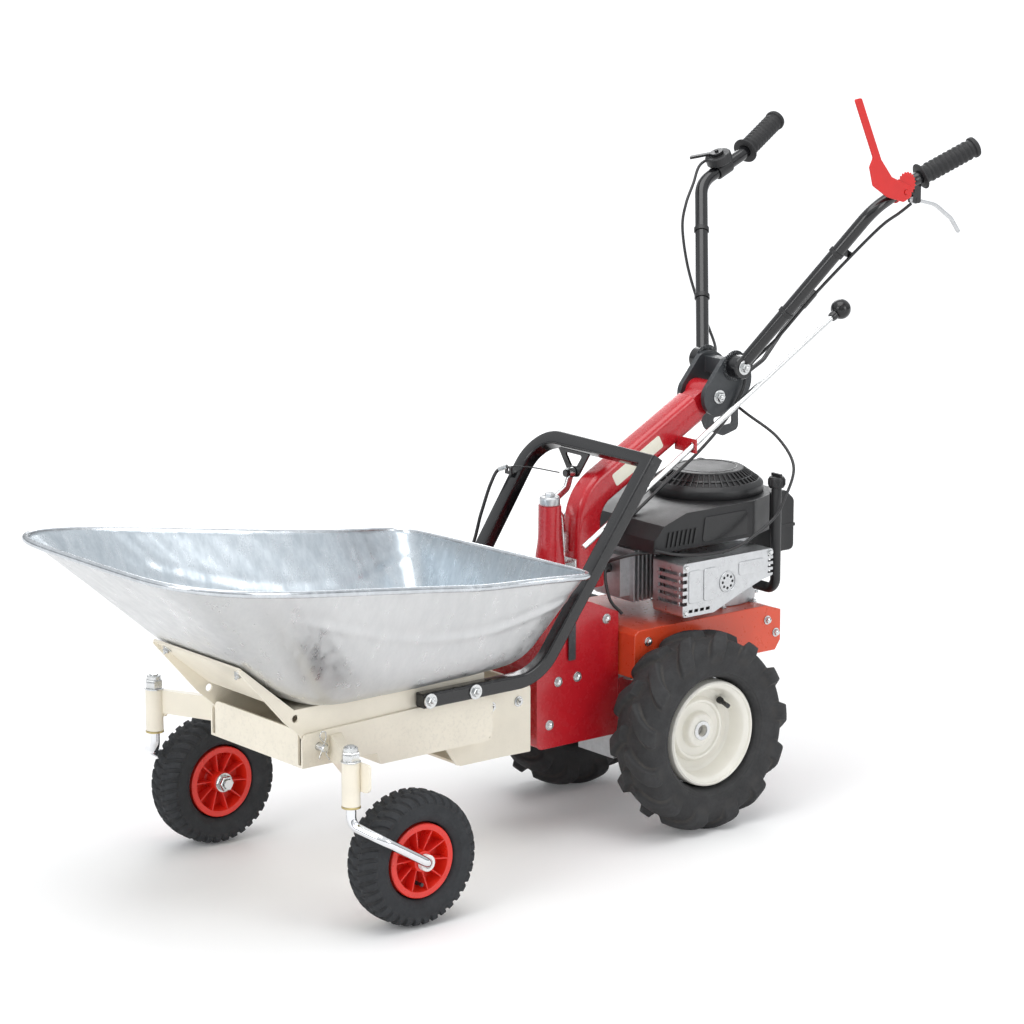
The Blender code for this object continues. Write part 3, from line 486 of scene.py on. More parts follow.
# ---------------------------------------------------------------- material families
def paint(name, colour, rough, wear, wear_amount, coat=.3, dirt=.12):
    """Enamel with dust on upward faces, worn edges and orange peel."""
    material, n, bsdf = new_material(name)
    big = n.noise(9, detail=3)
    mid = n.noise(70, detail=5, rough=.65, seed=3)
    fine = n.noise(900, detail=2, seed=5)
    base = n.mix(n.remap(big, .3, .7, 0, 1), scaled(colour, .93), scaled(colour, 1.05))
    dusty = n.times(n.remap(mid, .55, .80, 0, dirt), n.facing_up())
    base = n.mix(dusty, base, (.30, .25, .19))
    chips = n.times(n.edges(),
                    n.remap(n.noise(160, detail=4, rough=.7, seed=9), .50, .62, 0, 1))
    base = n.mix(n.times(chips, wear_amount), base, wear)
    n.feed(bsdf.inputs["Base Color"], base)
    n.feed(bsdf.inputs["Roughness"], n.remap(mid, .3, .7, rough - .06, rough + .10))
    bsdf.inputs["Coat Weight"].default_value = coat
    bsdf.inputs["Coat Roughness"].default_value = .12
    peel = n.add(fine, n.remap(n.noise(260, detail=3, seed=2), 0, 1, 0, 1.6))
    n.bump(bsdf, peel, distance=.00006)
    return material


def metal(name, colour, rough, variation, scratch=.00002, metallic=1.0, scale=60):
    """Bare or plated metal, clouded and finely scratched."""
    material, n, bsdf = new_material(name)
    cloud = n.noise(scale, detail=5, rough=.6)
    fine = n.noise(600, detail=3, rough=.6, seed=4)
    base = n.mix(n.remap(cloud, .3, .7, 0, 1),
                 scaled(colour, 1 - variation * 1.6), scaled(colour, 1 + variation))
    n.feed(bsdf.inputs["Base Color"], base)
    bsdf.inputs["Metallic"].default_value = metallic
    n.feed(bsdf.inputs["Roughness"], n.remap(cloud, .3, .7, max(rough - .05, .03), rough + .08))
    n.bump(bsdf, fine, distance=scratch)
    return material


def plastic(name, colour, rough, grain=.00008, grain_scale=1400, variation=.06, dust=.10,
            specular=.5):
    """Moulded plastic with a cell grain, dust on top and paler edges."""
    material, n, bsdf = new_material(name)
    cloud = n.noise(25, detail=4)
    cells = n.cells(grain_scale, "Distance")
    base = n.mix(n.remap(cloud, .3, .7, 0, 1),
                 scaled(colour, 1 - variation), scaled(colour, 1 + variation))
    dusty = n.times(n.remap(n.noise(60, detail=5, rough=.7, seed=6), .45, .85, 0, dust),
                    n.facing_up())
    base = n.mix(dusty, base, (.35, .33, .30))
    base = n.mix(n.times(n.edges(), .25), base, scaled([max(v, .03) for v in colour], 2.0))
    n.feed(bsdf.inputs["Base Color"], base)
    n.feed(bsdf.inputs["Roughness"], n.remap(cloud, .3, .7, rough - .05, rough + .07))
    bsdf.inputs["Specular IOR Level"].default_value = specular
    n.bump(bsdf, cells, distance=grain)
    return material


def rubber(name, colour, dust=.30):
    """Rubber with dust in the hollows and scuffed edges."""
    material, n, bsdf = new_material(name)
    cloud = n.noise(35, detail=5, rough=.65)
    fine = n.noise(1600, detail=2, seed=3)
    patch = n.noise(220, detail=4, rough=.7, seed=8)
    base = n.mix(n.remap(cloud, .3, .7, 0, 1), scaled(colour, .8), scaled(colour, 1.25))
    hollows = n.edges(.44, .50, 1, 0)
    dusty = n.times(hollows, n.times(n.remap(patch, .35, .65, .2, 1), dust))
    base = n.mix(dusty, base, (.14, .12, .10))
    scuffs = n.times(n.edges(.52, .58), n.remap(patch, .4, .6, 0, .35))
    base = n.mix(scuffs, base, scaled(colour, 2.6))
    n.feed(bsdf.inputs["Base Color"], base)
    n.feed(bsdf.inputs["Roughness"], n.remap(patch, .3, .7, .8 - .12, .8 + .08))
    bsdf.inputs["Specular IOR Level"].default_value = .35
    n.bump(bsdf, n.add(fine, patch), distance=.00012)
    return material


def galvanised(name, dark, light, rough, streak):
    """Hot-dip zinc on sheet: spangle cells, upright streaks and clouds."""
    material, n, bsdf = new_material(name)
    cell_colour = n.cells(75, "Color")
    split = n.new("ShaderNodeSeparateColor")
    n.feed(split.inputs[0], cell_colour)
    spangle = split.outputs[0]
    wide = n.noise(1.0, detail=6, rough=.6, stretch=(52, 52, 1.6), seed=2)
    thin = n.noise(1.0, detail=4, rough=.6, stretch=(240, 240, 5), seed=7)
    cloud = n.noise(3.5, detail=3, rough=.5, seed=1)
    tone = n.add(n.remap(wide, .35, .68, 0, streak),
                 n.remap(cloud, .3, .7, (1 - streak) * .35, (1 - streak) * .75))
    tone = n.add(tone, n.remap(spangle, 0, 1, -.025, .025))
    tone = n.add(tone, n.remap(thin, .3, .7, -.10, .10))
    base = n.mix(tone, dark, light)
    base = n.mix(n.times(n.edges(), .3), base, (.93, .94, .95))
    n.feed(bsdf.inputs["Base Color"], base)
    bsdf.inputs["Metallic"].default_value = .88
    n.feed(bsdf.inputs["Roughness"], n.add(n.remap(wide, .35, .70, rough + .10, rough - .10),
                                           n.remap(spangle, 0, 1, -.02, .02)))
    height = n.add(n.times(spangle, .03), n.add(n.times(wide, .55), n.times(thin, .35)))
    n.bump(bsdf, height, distance=.00022, strength=.5)
    return material


MATERIALS = {
    # Inside: the same sheet as the outside, with darker, bluer colours as painted shade; its
    # stronger streaks are the sheet's own marks.
    "zinc_in_painted_shade": galvanised("galvanised_inside_painted_shade", dark=(.38, .43, .47), light=(.64, .69, .73),
                          rough=.30, streak=.62),
    "zinc_out": galvanised("galvanised_outside", dark=(.60, .612, .62),
                           light=(.715, .722, .725), rough=.34, streak=.22),
    "zinc_lip": metal("galvanised_lip", (.60, .63, .66), rough=.22, variation=.10),
    "cream": paint("cream_enamel", (.88, .82, .69), rough=.34, wear=(.62, .58, .50),
                   wear_amount=.25, dirt=.10),
    "black": paint("black_enamel", (.004, .004, .005), rough=.20, wear=(.10, .10, .10),
                   wear_amount=.2, dirt=.01),
    "red": paint("red_enamel", (.50, .010, .018), rough=.24, wear=(.30, .06, .05),
                 wear_amount=.3, coat=.4, dirt=.03),
    "orange": paint("orange_enamel", (.74, .070, .020), rough=.30, wear=(.35, .16, .10),
                    wear_amount=.3, coat=.4, dirt=.03),
    "lever_red": plastic("lever_red", (.62, .014, .012), rough=.32, grain=.00003),
    "rim_white": paint("rim_enamel", (.83, .81, .74), rough=.36, wear=(.5, .48, .44),
                       wear_amount=.3),
    "grey": paint("dark_grey_enamel", (.034, .038, .042), rough=.38, wear=(.30, .30, .30),
                  wear_amount=.5, coat=.1),
    "zinc": metal("zinc_plate", (.68, .69, .69), rough=.24, variation=.08),
    "brass": metal("brass_washer", (.55, .45, .22), rough=.35, variation=.1),
    "chrome": metal("chrome", (.80, .81, .83), rough=.06, variation=.03, scratch=.000006),
    "cast": metal("cast_alloy", (.50, .51, .52), rough=.48, variation=.10, scratch=.00010,
                  metallic=.9, scale=120),
    "guard": metal("bright_guard", (.60, .61, .62), rough=.30, variation=.06,
                   scratch=.00004, metallic=.85, scale=90),
    "steel": metal("machined_steel", (.55, .55, .56), rough=.30, variation=.08),
    "caster_tyre": rubber("caster_rubber", (.030, .032, .035)),
    "drive_tyre": rubber("drive_rubber", (.036, .036, .037), dust=.45),
    "rim_red": plastic("red_nylon", (.72, .022, .008), rough=.30, grain=.00002,
                       variation=.05, specular=.6, dust=.04),
    "plastic": plastic("black_plastic", (.011, .011, .012), rough=.40, dust=.03),
    "gloss": plastic("black_plastic_gloss", (.009, .009, .010), rough=.20, grain=.00002,
                     dust=.02),
    "grip": plastic("grip_rubber", (.011, .011, .012), rough=.58, grain=.00015,
                    grain_scale=900, dust=.04),
    "belt": rubber("belt_rubber", (.03, .03, .03)),
    "cable": plastic("cable_sheath", (.016, .016, .017), rough=.38, grain=.00002),
    "nylon": plastic("white_nylon", (.80, .80, .78), rough=.40, grain=.00003),
    "label": plastic("plain_label", (.82, .79, .62), rough=.35, grain=.00001, variation=.03),
}

# The frame's colour slot that goes with each material
SLOTS = {
    "cream": "cream_paint", "black": "black_paint", "red": "red_paint",
    "orange": "orange_paint", "lever_red": "red_paint", "rim_white": "rim_paint",
    "grey": "grey_paint", "zinc": "zinc_steel", "brass": "zinc_steel", "steel": "zinc_steel",
    "chrome": "chrome_steel", "cast": "cast_alloy", "guard": "cast_alloy",
    "caster_tyre": "caster_rubber", "drive_tyre": "drive_rubber", "rim_red": "red_plastic",
    "plastic": "black_plastic", "gloss": "black_plastic", "grip": "grip_rubber",
    "cable": "black_plastic", "nylon": "galvanised_sheet", "label": "cream_paint",
}


# ---------------------------------------------------------------- adding pieces
def finish_mesh(ob, smooth):
    """Welds doubled vertices and keeps edges sharper than smooth degrees."""
    bm = bmesh.new()
    bm.from_mesh(ob.data)
    bmesh.ops.remove_doubles(bm, verts=bm.verts, dist=2e-6)
    bm.to_mesh(ob.data)
    bm.free()
    ob.data.shade_smooth()
    ob.data.set_sharp_from_angle(angle=math.radians(smooth))


def piece(name, shape, material, replaces=None, body="chassis", slot=None, smooth=35,
          bevel=0, bevel_segments=2):
    """Places a bmesh or object, finishes it, hangs it on its body's empty and hides the frame
    part it replaces.

    body is the moving group it rides, and replaces is the frame part it stands for.
    """
    ob = shape if isinstance(shape, bpy.types.Object) else make(name, shape)
    ob.name = name
    ob.data.name = name
    ob.data.transform(Matrix.Translation(ORIGIN))
    if material:
        ob.data.materials.clear()
        ob.data.materials.append(MATERIALS[material])
        ob.data.polygons.foreach_set("material_index", [0] * len(ob.data.polygons))
    finish_mesh(ob, smooth)
    if bevel:
        modifier = ob.modifiers.new("edge", "BEVEL")
        modifier.width = bevel
        modifier.segments = bevel_segments
        modifier.limit_method = "ANGLE"
        modifier.angle_limit = math.radians(30)
        modifier.harden_normals = True
    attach(ob, body)
    if replaces:
        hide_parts(replaces)
    slot or SLOTS[material]


# ---------------------------------------------------------------- fasteners
# Head radius to the flats, head height, washer radius, washer height, thread shown, domed
BOLT_SIZES = {
    "saddle": (.0050, .0045, .0085, .0014, .004),
    "loop_left": (.0070, .0052, .0127, .0022, .0045),
    "loop_right": (.0070, .0052, .0127, .0022),
    "hitch": (.0055, .0045, .0090, .0015, .003),
    "deck": (.0050, .0040, .0080, .0014, 0, True),
    "shield": (.0052, .0040, .0088, .0014, 0, True),
    "sump": (.0045, .0040, .0070, .0012),
    "guard": (.0038, .0030, .0060, .0010),
    "gearbox": (.0055, .0040, .0090, .0014, .003),
    "barrel": (.0075, .0060, .0125, .0020, .004),
    "bar": (.0075, .0060, .0130, .0020, .004),
}
HEX = math.cos(math.pi / 6)  # flat radius over corner radius of a hexagon


def hexagon(place, axis, radius, height):
    """A hexagon head with a chamfered top; radius is to the flats."""
    corner = radius / HEX
    return lathe([(0, 0), (corner, 0), (corner, height * .78), (corner * (1 - .12), height),
                  (0, height)], place, axis, 6)


def washer(place, axis, outer, inner, height):
    edge = height * .25
    return lathe([(inner, 0), (outer, 0), (outer, height - edge), (outer - edge, height),
                  (inner, height)], place, axis, 40)


def bolt(place, axis, head, head_height, washer_radius, washer_height, stud=0, domed=False):
    """Washer, hexagon head and, where it shows, the threaded end."""
    place, axis = Vector(place), Vector(axis).normalized()
    parts = [washer(place, axis, washer_radius, head * .3, washer_height),
             hexagon(place + axis * washer_height, axis, head, head_height)]
    if domed:
        dome = [(head * .98, 0), (head * .98, head_height * .18), (head * .7, head_height * .45),
                (head * .3, head_height * .6), (0, head_height * .62), (0, 0)]
        parts.append(lathe(dome, place + axis * (washer_height + head_height * .95), axis, 24))
    if stud:
        radius = head * .52
        threads = max(int(stud / .001), 2)
        profile = [(0, 0)]
        for i in range(threads):
            profile += [(radius, stud * (i + .1) / threads),
                        (radius * .86, stud * (i + .6) / threads)]
        profile += [(radius * .8, stud), (0, stud)]
        parts.append(lathe(profile, place + axis * (washer_height + head_height), axis, 20))
    return join(*parts)


def bolt_piece(name, size, place, axis, body="chassis"):
    piece(name, bolt(place, axis, *BOLT_SIZES[size]), "zinc", body=body)


# ---------------------------------------------------------------- tub
# (x, y) of half the rim seen from above, from the nose centre to the rear centre
RIM = [
    (0, -1.115), (.11, -1.114), (.172, -1.108), (.216, -1.092), (.246, -1.067), (.267, -1.034),
    (.279, -.996), (.2835, -.955), (.284, -.905), (.280, -.850), (.273, -.785), (.265, -.710),
    (.258, -.630), (.253, -.550), (.2510, -.470), (.2545, -.410), (.2590, -.362),
    (.2560, -.325), (.2300, -.306), (.170, -.3000), (.08, -.2990), (0, -.2985)]
# (x, y) of the floor outline, point by point below the rim's
FLOOR = [
    (0, -.815), (.06, -.815), (.10, -.815), (.13, -.808), (.148, -.792), (.157, -.770),
    (.160, -.750), (.161, -.725), (.162, -.700), (.163, -.665), (.163, -.625), (.162, -.580),
    (.161, -.530), (.160, -.480), (.158, -.435), (.153, -.400), (.146, -.378), (.134, -.364),
    (.118, -.358), (.098, -.355), (.060, -.355), (0, -.355)]
FLOOR_Z = 0.338
TUB_SHEET = .0016
BEAD_RADIUS = .0055      # of the rolled lip
FLOOR_INSET = .045       # how far inside the floor outline the bend starts
BEND_END = .28           # share of the wall taken up by the bend
HALF_COLUMNS = 124       # columns of faces round half the tub
WALL_STEPS, BEND_STEPS, BEAD_STEPS = 26, 8, 14


def catmull(points, u):
    """Catmull-Rom through 2-D points, mirrored in x past both ends; u is the point number."""
    last = len(points) - 1
    i = min(int(u), last - 1)
    t = u - i
    p1, p2 = points[i], points[i + 1]
    p0 = points[i - 1] if i else (-p2[0], p2[1])
    p3 = points[i + 2] if i + 2 <= last else (-p1[0], p1[1])
    return tuple(0.5 * (2 * b + (c - a) * t + (2 * a - 5 * b + 4 * c - d) * t * t
                        + (3 * b - a - 3 * c + d) * t ** 3)
                 for a, b, c, d in zip(p0, p1, p2, p3))


def rim_z(x, y):
    """The rim rises towards the nose and lifts again at the rear corners."""
    t = max(0.0, min(1.0, (y + .56) / .26))
    return .446 - .139 * y + t * t * (3 - 2 * t) * (.010 + .030 * x)


def rim_stations():
    """Curve positions spaced evenly along half the rim."""
    last, samples = len(RIM) - 1, 840
    dense = [catmull(RIM, k * last / samples) for k in range(samples + 1)]
    run = [0.0]
    for a, b in zip(dense, dense[1:]):
        run.append(run[-1] + math.hypot(b[0] - a[0], b[1] - a[1]))
    stations, j = [], 0
    for i in range(HALF_COLUMNS + 1):
        s = run[-1] * i / HALF_COLUMNS
        while j < samples - 1 and run[j + 1] < s:
            j += 1
        stations.append((j + (s - run[j]) / max(run[j + 1] - run[j], 1e-9)) * last / samples)
    return stations


def pressing(u, side, share):
    """Depth pressed into the wall: a wavy band, slight dents and faint ribs near the rim."""
    window = max(0.0, min(1.0, (u - 6.5) / 2.0)) * max(0.0, min(1.0, (18.6 - u) / 1.6))
    middle = .60 - .17 * math.cos((u - 12.3) / 6.0 * math.pi) * .9
    band = .0012 * window * (math.exp(-((share - middle) / .030) ** 2)
                             - .5 * math.exp(-((share - middle - .09) / .035) ** 2))
    dent = .0004 * math.sin(u * 5.1 + side) * math.sin(share * 7 + u * 1.7) * min(1, share * 2)
    ribs = .0005 * math.sin(u * 23.0) * max(0, share - .5) * 2
    return band + dent + ribs


def tub_loop(u, side, length, rise):
    """(outward, up) section of the sheet: outer face, lip and inner face."""
    wall = []
    for k in range(BEND_STEPS + 1):
        t = k / BEND_STEPS
        wall.append((-FLOOR_INSET * (1 - t) ** 2 + BEND_END * length * t * t,
                     BEND_END * rise * t * t))
    stop = 1 - BEAD_RADIUS * 1.2 / math.hypot(length, rise)
    for k in range(1, WALL_STEPS + 1):
        t = BEND_END + (stop - BEND_END) * k / WALL_STEPS
        wall.append((length * t, rise * t))
    n = len(wall)
    normals = [(0.0, 1.0)]
    for k in range(1, n):
        a, b = wall[k - 1], wall[min(k + 1, n - 1)]
        ds, dz = b[0] - a[0], b[1] - a[1]
        size = math.hypot(ds, dz)
        normals.append((-dz / size, ds / size))
    depths = [pressing(u, side, k / (n - 1)) for k in range(n)]
    wall = [(s - a * depth, z - b * depth)
            for (s, z), (a, b), depth in zip(wall, normals, depths)]
    lip = arc(length + BEAD_RADIUS - TUB_SHEET, rise, BEAD_RADIUS, 230, 540, BEAD_STEPS)
    inner = [(s + a * TUB_SHEET, z + b * TUB_SHEET) for (s, z), (a, b) in zip(wall, normals)]
    return wall + lip + list(reversed(inner))


def tub_shape():
    stations = rim_stations()
    columns = [(u, 1) for u in stations] + [(u, -1) for u in reversed(stations[1:-1])]
    last = len(RIM) - 1
    bm = bmesh.new()
    rows = []
    for u, side in columns:
        rim_x, rim_y = catmull(RIM, min(u, last))
        floor_x, floor_y = catmull(FLOOR, min(u, last))
        rim = Vector((rim_x * side, rim_y, rim_z(rim_x * side, rim_y)))
        foot = Vector((floor_x * side, floor_y, FLOOR_Z))
        outward = Vector((rim.x - foot.x, rim.y - foot.y, 0))
        length = outward.length
        outward.normalize()
        rows.append([bm.verts.new(foot + outward * s + Vector((0, 0, z)))
                     for s, z in tub_loop(u, side, length, rim.z - foot.z)])
    m, n = len(rows), len(rows[0])
    for i in range(m):
        a, b = rows[i], rows[(i + 1) % m]
        for k in range(n - 1):
            bm.faces.new((a[k], b[k], b[k + 1], a[k + 1]))
    bm.faces.new([row[0] for row in rows])
    bm.faces.new([row[-1] for row in reversed(rows)])
    bmesh.ops.recalc_face_normals(bm, faces=bm.faces)
    return bm


def build_tub():
    """The tub, with one material outside, one inside whose darker, bluer colours are painted
    shade, and one on the lip.
    """
    outside, inside, lip = 0, 1, 2
    tub = make("tub_skin", tub_shape())
    wall_faces = WALL_STEPS + BEND_STEPS
    strip = (wall_faces + 1) * 2 + BEAD_STEPS
    column_faces = strip * HALF_COLUMNS * 2
    indices = []
    for i in range(len(tub.data.polygons)):
        k = i % strip
        if i >= column_faces:  # the two floor faces
            indices.append(outside if i == column_faces else inside)
        elif k < wall_faces:
            indices.append(outside)
        else:
            indices.append(lip if k < wall_faces + BEAD_STEPS + 1 else inside)
    for material in ("zinc_out", "zinc_in_painted_shade", "zinc_lip"):
        tub.data.materials.append(MATERIALS[material])
    tub.data.polygons.foreach_set("material_index", indices)
    piece("tub_skin", tub, None, "tub", "tub_assembly", slot="galvanised_sheet", smooth=50)


# ---------------------------------------------------------------- cradle under the tub
PIVOT_Y, PIVOT_Z = -.771, .271             # tipping pivot
PIVOT_HOLE = .0066
SIDE_INNER, SIDE_OUTER = .126, .130        # chassis side plates
FLANGE_INNER, FLANGE_OUTER = .1205, .1245  # tilting flanges inside them
LOOP_X, LOOP_Z = .1383, .315               # handle loop's lower ends
LOOP_BOLT_FRONT_Y, LOOP_BOLT_REAR_Y = -.562, -.469
LOOP_BOLT_HOLE = .0053
# (y, z) of a cradle flange, and its corner radii
FLANGE = [(-.793, .271), (-.7866, .2554), (-.771, .249), (-.7554, .2554), (-.742, .262),
          (-.445, .262), (-.432, .272), (-.430, .284), (-.430, .3372), (-.8145, .3372),
          (-.9135, .4195), (-.9180, .4140), (-.834, .320), (-.802, .292)]
FLANGE_RADII = [.021, 0, .021, 0, .010, .012, .010, .004, 0, 0, .004, .006, .020, .020]
# The saddle plate lies against the sloping front of the tub.
SADDLE_FOOT_Y, SADDLE_FOOT_Z = -.8162, .3377
SADDLE_UP = Vector((0, -.7601, .6498))
SADDLE_OUT = Vector((0, -.6498, -.7601))
SADDLE_HALF_WIDTH = .1225
SADDLE_SHEET = .004


def build_cradle():
    low = Vector((0, SADDLE_FOOT_Y, SADDLE_FOOT_Z)) + SADDLE_OUT * .0006
    high = low + SADDLE_UP * .130
    dy, dz = SADDLE_OUT.y * SADDLE_SHEET, SADDLE_OUT.z * SADDLE_SHEET
    saddle = [(low.y, low.z), (high.y, high.z), (high.y + dy, high.z + dz),
              (low.y + dy + .004, low.z + dz)]
    shapes = [plate(FLANGE, FLANGE_RADII, "X", FLANGE_INNER, FLANGE_OUTER),
              plate(FLANGE, FLANGE_RADII, "X", -FLANGE_OUTER, -FLANGE_INNER),
              box(-SADDLE_HALF_WIDTH, SADDLE_HALF_WIDTH, -.8145, -.430, .3333, .3372),
              prism(saddle, "X", -SADDLE_HALF_WIDTH, SADDLE_HALF_WIDTH)]
    cuts = [cylinder_x(-.2, .2, PIVOT_Y, PIVOT_Z, PIVOT_HOLE, 12)]
    cuts += [cylinder_x(-.2, .2, y, LOOP_Z, LOOP_BOLT_HOLE, 10)
             for y in (LOOP_BOLT_FRONT_Y, LOOP_BOLT_REAR_Y)]
    cuts.append(cylinder_x(-.2, .2, -.812, .3225, .0065, 32))
    piece("tilting_cradle", fuse("tilting_cradle", shapes, cuts), "cream", "tub_cradle",
          "tub_assembly", bevel=.0009)
    for k, x in enumerate((.102, -.102)):
        place = Vector((x, SADDLE_FOOT_Y, SADDLE_FOOT_Z)) + SADDLE_OUT * .0048
        bolt_piece("saddle_bolt_%d" % (k + 1), "saddle", place + SADDLE_UP * .112, SADDLE_OUT,
                   "tub_assembly")


# ---------------------------------------------------------------- handle loop
LOOP_END_Y = -.572
LOOP_TOP_X, LOOP_TOP_Y, LOOP_TOP_Z = .150, -.0935, .652
LOOP_BEND_Y = -.330


def build_handle_loop():
    """Square tube, 25 mm, open at both lower ends."""
    path = fillet_path(
        [(LOOP_X, LOOP_END_Y, LOOP_Z), (LOOP_X, LOOP_BEND_Y, LOOP_Z),
         (LOOP_TOP_X, LOOP_TOP_Y, LOOP_TOP_Z), (-LOOP_TOP_X, LOOP_TOP_Y, LOOP_TOP_Z),
         (-LOOP_X, LOOP_BEND_Y, LOOP_Z), (-LOOP_X, LOOP_END_Y, LOOP_Z)],
        [.09, 0, .060, .09], 14)  # the left top corner is mitred, the right one is bent
    tube = sweep(path, rounded_rect(.025, .025, .004, 4),
                 inner=rounded_rect(.021, .021, .002, 4))
    cuts = [cylinder_x(-.2, .2, y, LOOP_Z, LOOP_BOLT_HOLE, 24)
            for y in (LOOP_BOLT_FRONT_Y, LOOP_BOLT_REAR_Y)]
    piece("handle_loop_tube", fuse("handle_loop_tube", [tube], cuts), "black", "handle_loop",
          "tub_assembly", smooth=30)
    for name, y in (("front", LOOP_BOLT_FRONT_Y), ("rear", LOOP_BOLT_REAR_Y)):
        parts = [cylinder_x(-.151, .151, y, LOOP_Z, .0049, 24)]
        for side, side_name in SIDES:
            parts.append(bolt((side * .1512, y, LOOP_Z), (side, 0, 0),
                              *BOLT_SIZES["loop_" + side_name]))
        piece("loop_bolt_%s_set" % name, join(*parts), "zinc", "loop_bolt_" + name,
              "tub_assembly")
    for side, name in SIDES:
        plug = lathe([(0, 0), (.0150, 0), (.0140, .0016), (0, .0022)],
                     (side * LOOP_X, LOOP_END_Y - .0002, LOOP_Z), (0, -1, 0), 4, phase=.5)
        piece("tube_plug_" + name, plug, "plastic", body="tub_assembly")


# ---------------------------------------------------------------- latch
LATCH_X, LATCH_Z = -.036, .606  # the hook's pivot
HOOK_PIN = .0035
LATCH_CABLE = [(-.176, -.300, .400), (-.184, -.222, .452), (-.182, -.196, .520),
               (-.176, -.178, .574), (-.168, -.162, .598), (-.110, -.150, .608),
               (-.048, -.130, .606)]


def latch_pin(y0, y1, radius, segments=24):
    return cylinder((LATCH_X, y0, LATCH_Z), (LATCH_X, y1, LATCH_Z), radius, segments)


def trapezoid(half_top, z_top, half_foot, z_foot):
    return [(LATCH_X - half_top, z_top), (LATCH_X + half_top, z_top),
            (LATCH_X + half_foot, z_foot), (LATCH_X - half_foot, z_foot)]


def build_latch():
    shapes = [plate(trapezoid(.042, .6435, .010, .598), [.002, .002, .008, .008], "Y",
                    -.1085, -.1045),
              latch_pin(-.1275, -.1065, HOOK_PIN), latch_pin(-.1275, -.1245, .0062)]
    window = plate(trapezoid(.024, .6380, .008, .6165), .003, "Y", -.12, -.09, 5)
    piece("latch_plate", fuse("latch_plate", shapes, [window]), "black", "latch_bracket",
          "tub_assembly", bevel=.0005)

    path = fillet_path([(LATCH_X, -.116, .601), (LATCH_X, -.123, .580),
                        (LATCH_X + .004, -.158, .562), (-.006, -.158, .540),
                        (-.006, -.1525, .476)], [.012, .012, .010], 8)
    shapes = [sweep(path, rounded_rect(.0062, .0130, .0024, 4), up=LEFT),
              latch_pin(-.1222, -.1100, .009, 32),
              plate(rectangle(-.012, 0, .512, .4765), .003, "Y", -.1567, -.1483, 4)]
    hook = fuse("latch_hook_bar", shapes, [latch_pin(-.14, -.10, HOOK_PIN + .0004)])
    piece("latch_hook_bar", hook, "zinc", "latch_hook", "latch", bevel=.0005)

    count, sheath_end = 60, 41  # path points; the bare wire starts at sheath_end
    path = smooth_path(LATCH_CABLE, count)
    scale = [1.0 if k < sheath_end else .36 for k in range(count)]
    piece("latch_cable_run", sweep(path, circle(.003, 14), up=(0, 1, 0), scale=scale), "cable",
          "latch_cable", "tub_assembly")
    piece("cable_ferrule", cylinder(path[38], path[42], .0042, 20), "zinc",
          body="tub_assembly")
    tab = fuse("cable_tab", [box(-.160, -.142, -.161, -.133, .590, .593),
                             box(-.160, -.142, -.161, -.158, .590, .604)],
               [cylinder((-.151, -.17, .598), (-.151, -.14, .598), .0030, 16)])
    piece("cable_tab", tab, "black", body="tub_assembly", bevel=.0004)


# ---------------------------------------------------------------- chassis
# (y, z) of a side plate, and its corner radii
SIDE_PLATE = [(-.803, .239), (-.803, .285), (-.797, .294), (-.756, .2955), (-.572, .3005),
              (-.44, .2985), (-.416, .290), (-.416, .236), (-.420, .227), (-.431, .219),
              (-.649, .219), (-.654, .239)]
SIDE_PLATE_RADII = [0, .004, .006, .004, 0, .012, .008, 0, .016, .006, .004, .004]
# (y, z) of the stepped floor sheet
CHASSIS_FLOOR = [(-.803, .239), (-.6525, .239), (-.6475, .219), (-.418, .219), (-.418, .223),
                 (-.6445, .223), (-.6495, .243), (-.803, .243)]
# (y, z) of a hitch side plate, and its corner radii
HITCH_SIDE = [(-.482, .203), (-.461, .173), (-.304, .170), (-.304, .290), (-.4155, .290),
              (-.4155, .2187), (-.478, .2187)]
HITCH_RADII = [.004, .006, .002, .010, .006, .002, .002]
HITCH_X = .088           # middle of the hitch side plates
KINGPIN_X, KINGPIN_Y = .2793, -.8163
KINGPIN_BORE = .0084
# Centreline of the R-clip: a loop above the pin and two legs astride it
R_CLIP = [(.1412, -.7785, .2540), (.1412, -.7715, .2700), (.1412, -.7640, .2870),
          (.1412, -.7655, .2965), (.1412, -.7735, .2990), (.1412, -.7770, .2905),
          (.1412, -.7700, .2815), (.1425, -.7625, .2765), (.1425, -.7620, .2660),
          (.1425, -.7660, .2600), (.1430, -.7590, .2500)]
R_CLIP_RADII = [.012, .006, .005, .004, .006, .005, .006, .005, .003]


def build_chassis_channel():
    shapes = [plate(SIDE_PLATE, SIDE_PLATE_RADII, "X", SIDE_INNER, SIDE_OUTER),
              plate(SIDE_PLATE, SIDE_PLATE_RADII, "X", -SIDE_OUTER, -SIDE_INNER),
              prism(CHASSIS_FLOOR, "X", -.128, .128),
              plate(rectangle(-.1175, .1175, .241, .300), [0, 0, .010, .010], "Y",
                    -.803, -.799),
              box(-.128, .128, -.420, -.416, .221, .284)]
    cuts = [cylinder_x(-.2, .2, PIVOT_Y, PIVOT_Z, PIVOT_HOLE, 32)]
    piece("chassis_channel", fuse("chassis_channel", shapes, cuts), "cream", "chassis_frame",
          bevel=.0009)


def build_hitch():
    def side_plate():
        return plate(HITCH_SIDE, HITCH_RADII, "X", HITCH_X - .002, HITCH_X + .002, 5)
    shapes = [side_plate(), mirror_x(side_plate()),
              box(-HITCH_X, HITCH_X, -.310, -.304, .170, .290),
              box(-HITCH_X, HITCH_X, -.452, -.306, .1705, .1745),
              cylinder_x(-HITCH_X, HITCH_X, -.455, .200, .008, 28),
              cylinder((0, -.306, .226), (0, -.2825, .226), .032, 48)]
    piece("hitch_box", fuse("hitch_box", shapes), "cream", "hitch_bracket", bevel=.0009)
    for k, y in enumerate((-.388, -.330)):
        for side, name in SIDES:
            bolt_piece("hitch_bolt_%d_%s" % (k + 1, name), "hitch",
                       (side * .0902, y, .262), (side, 0, 0))


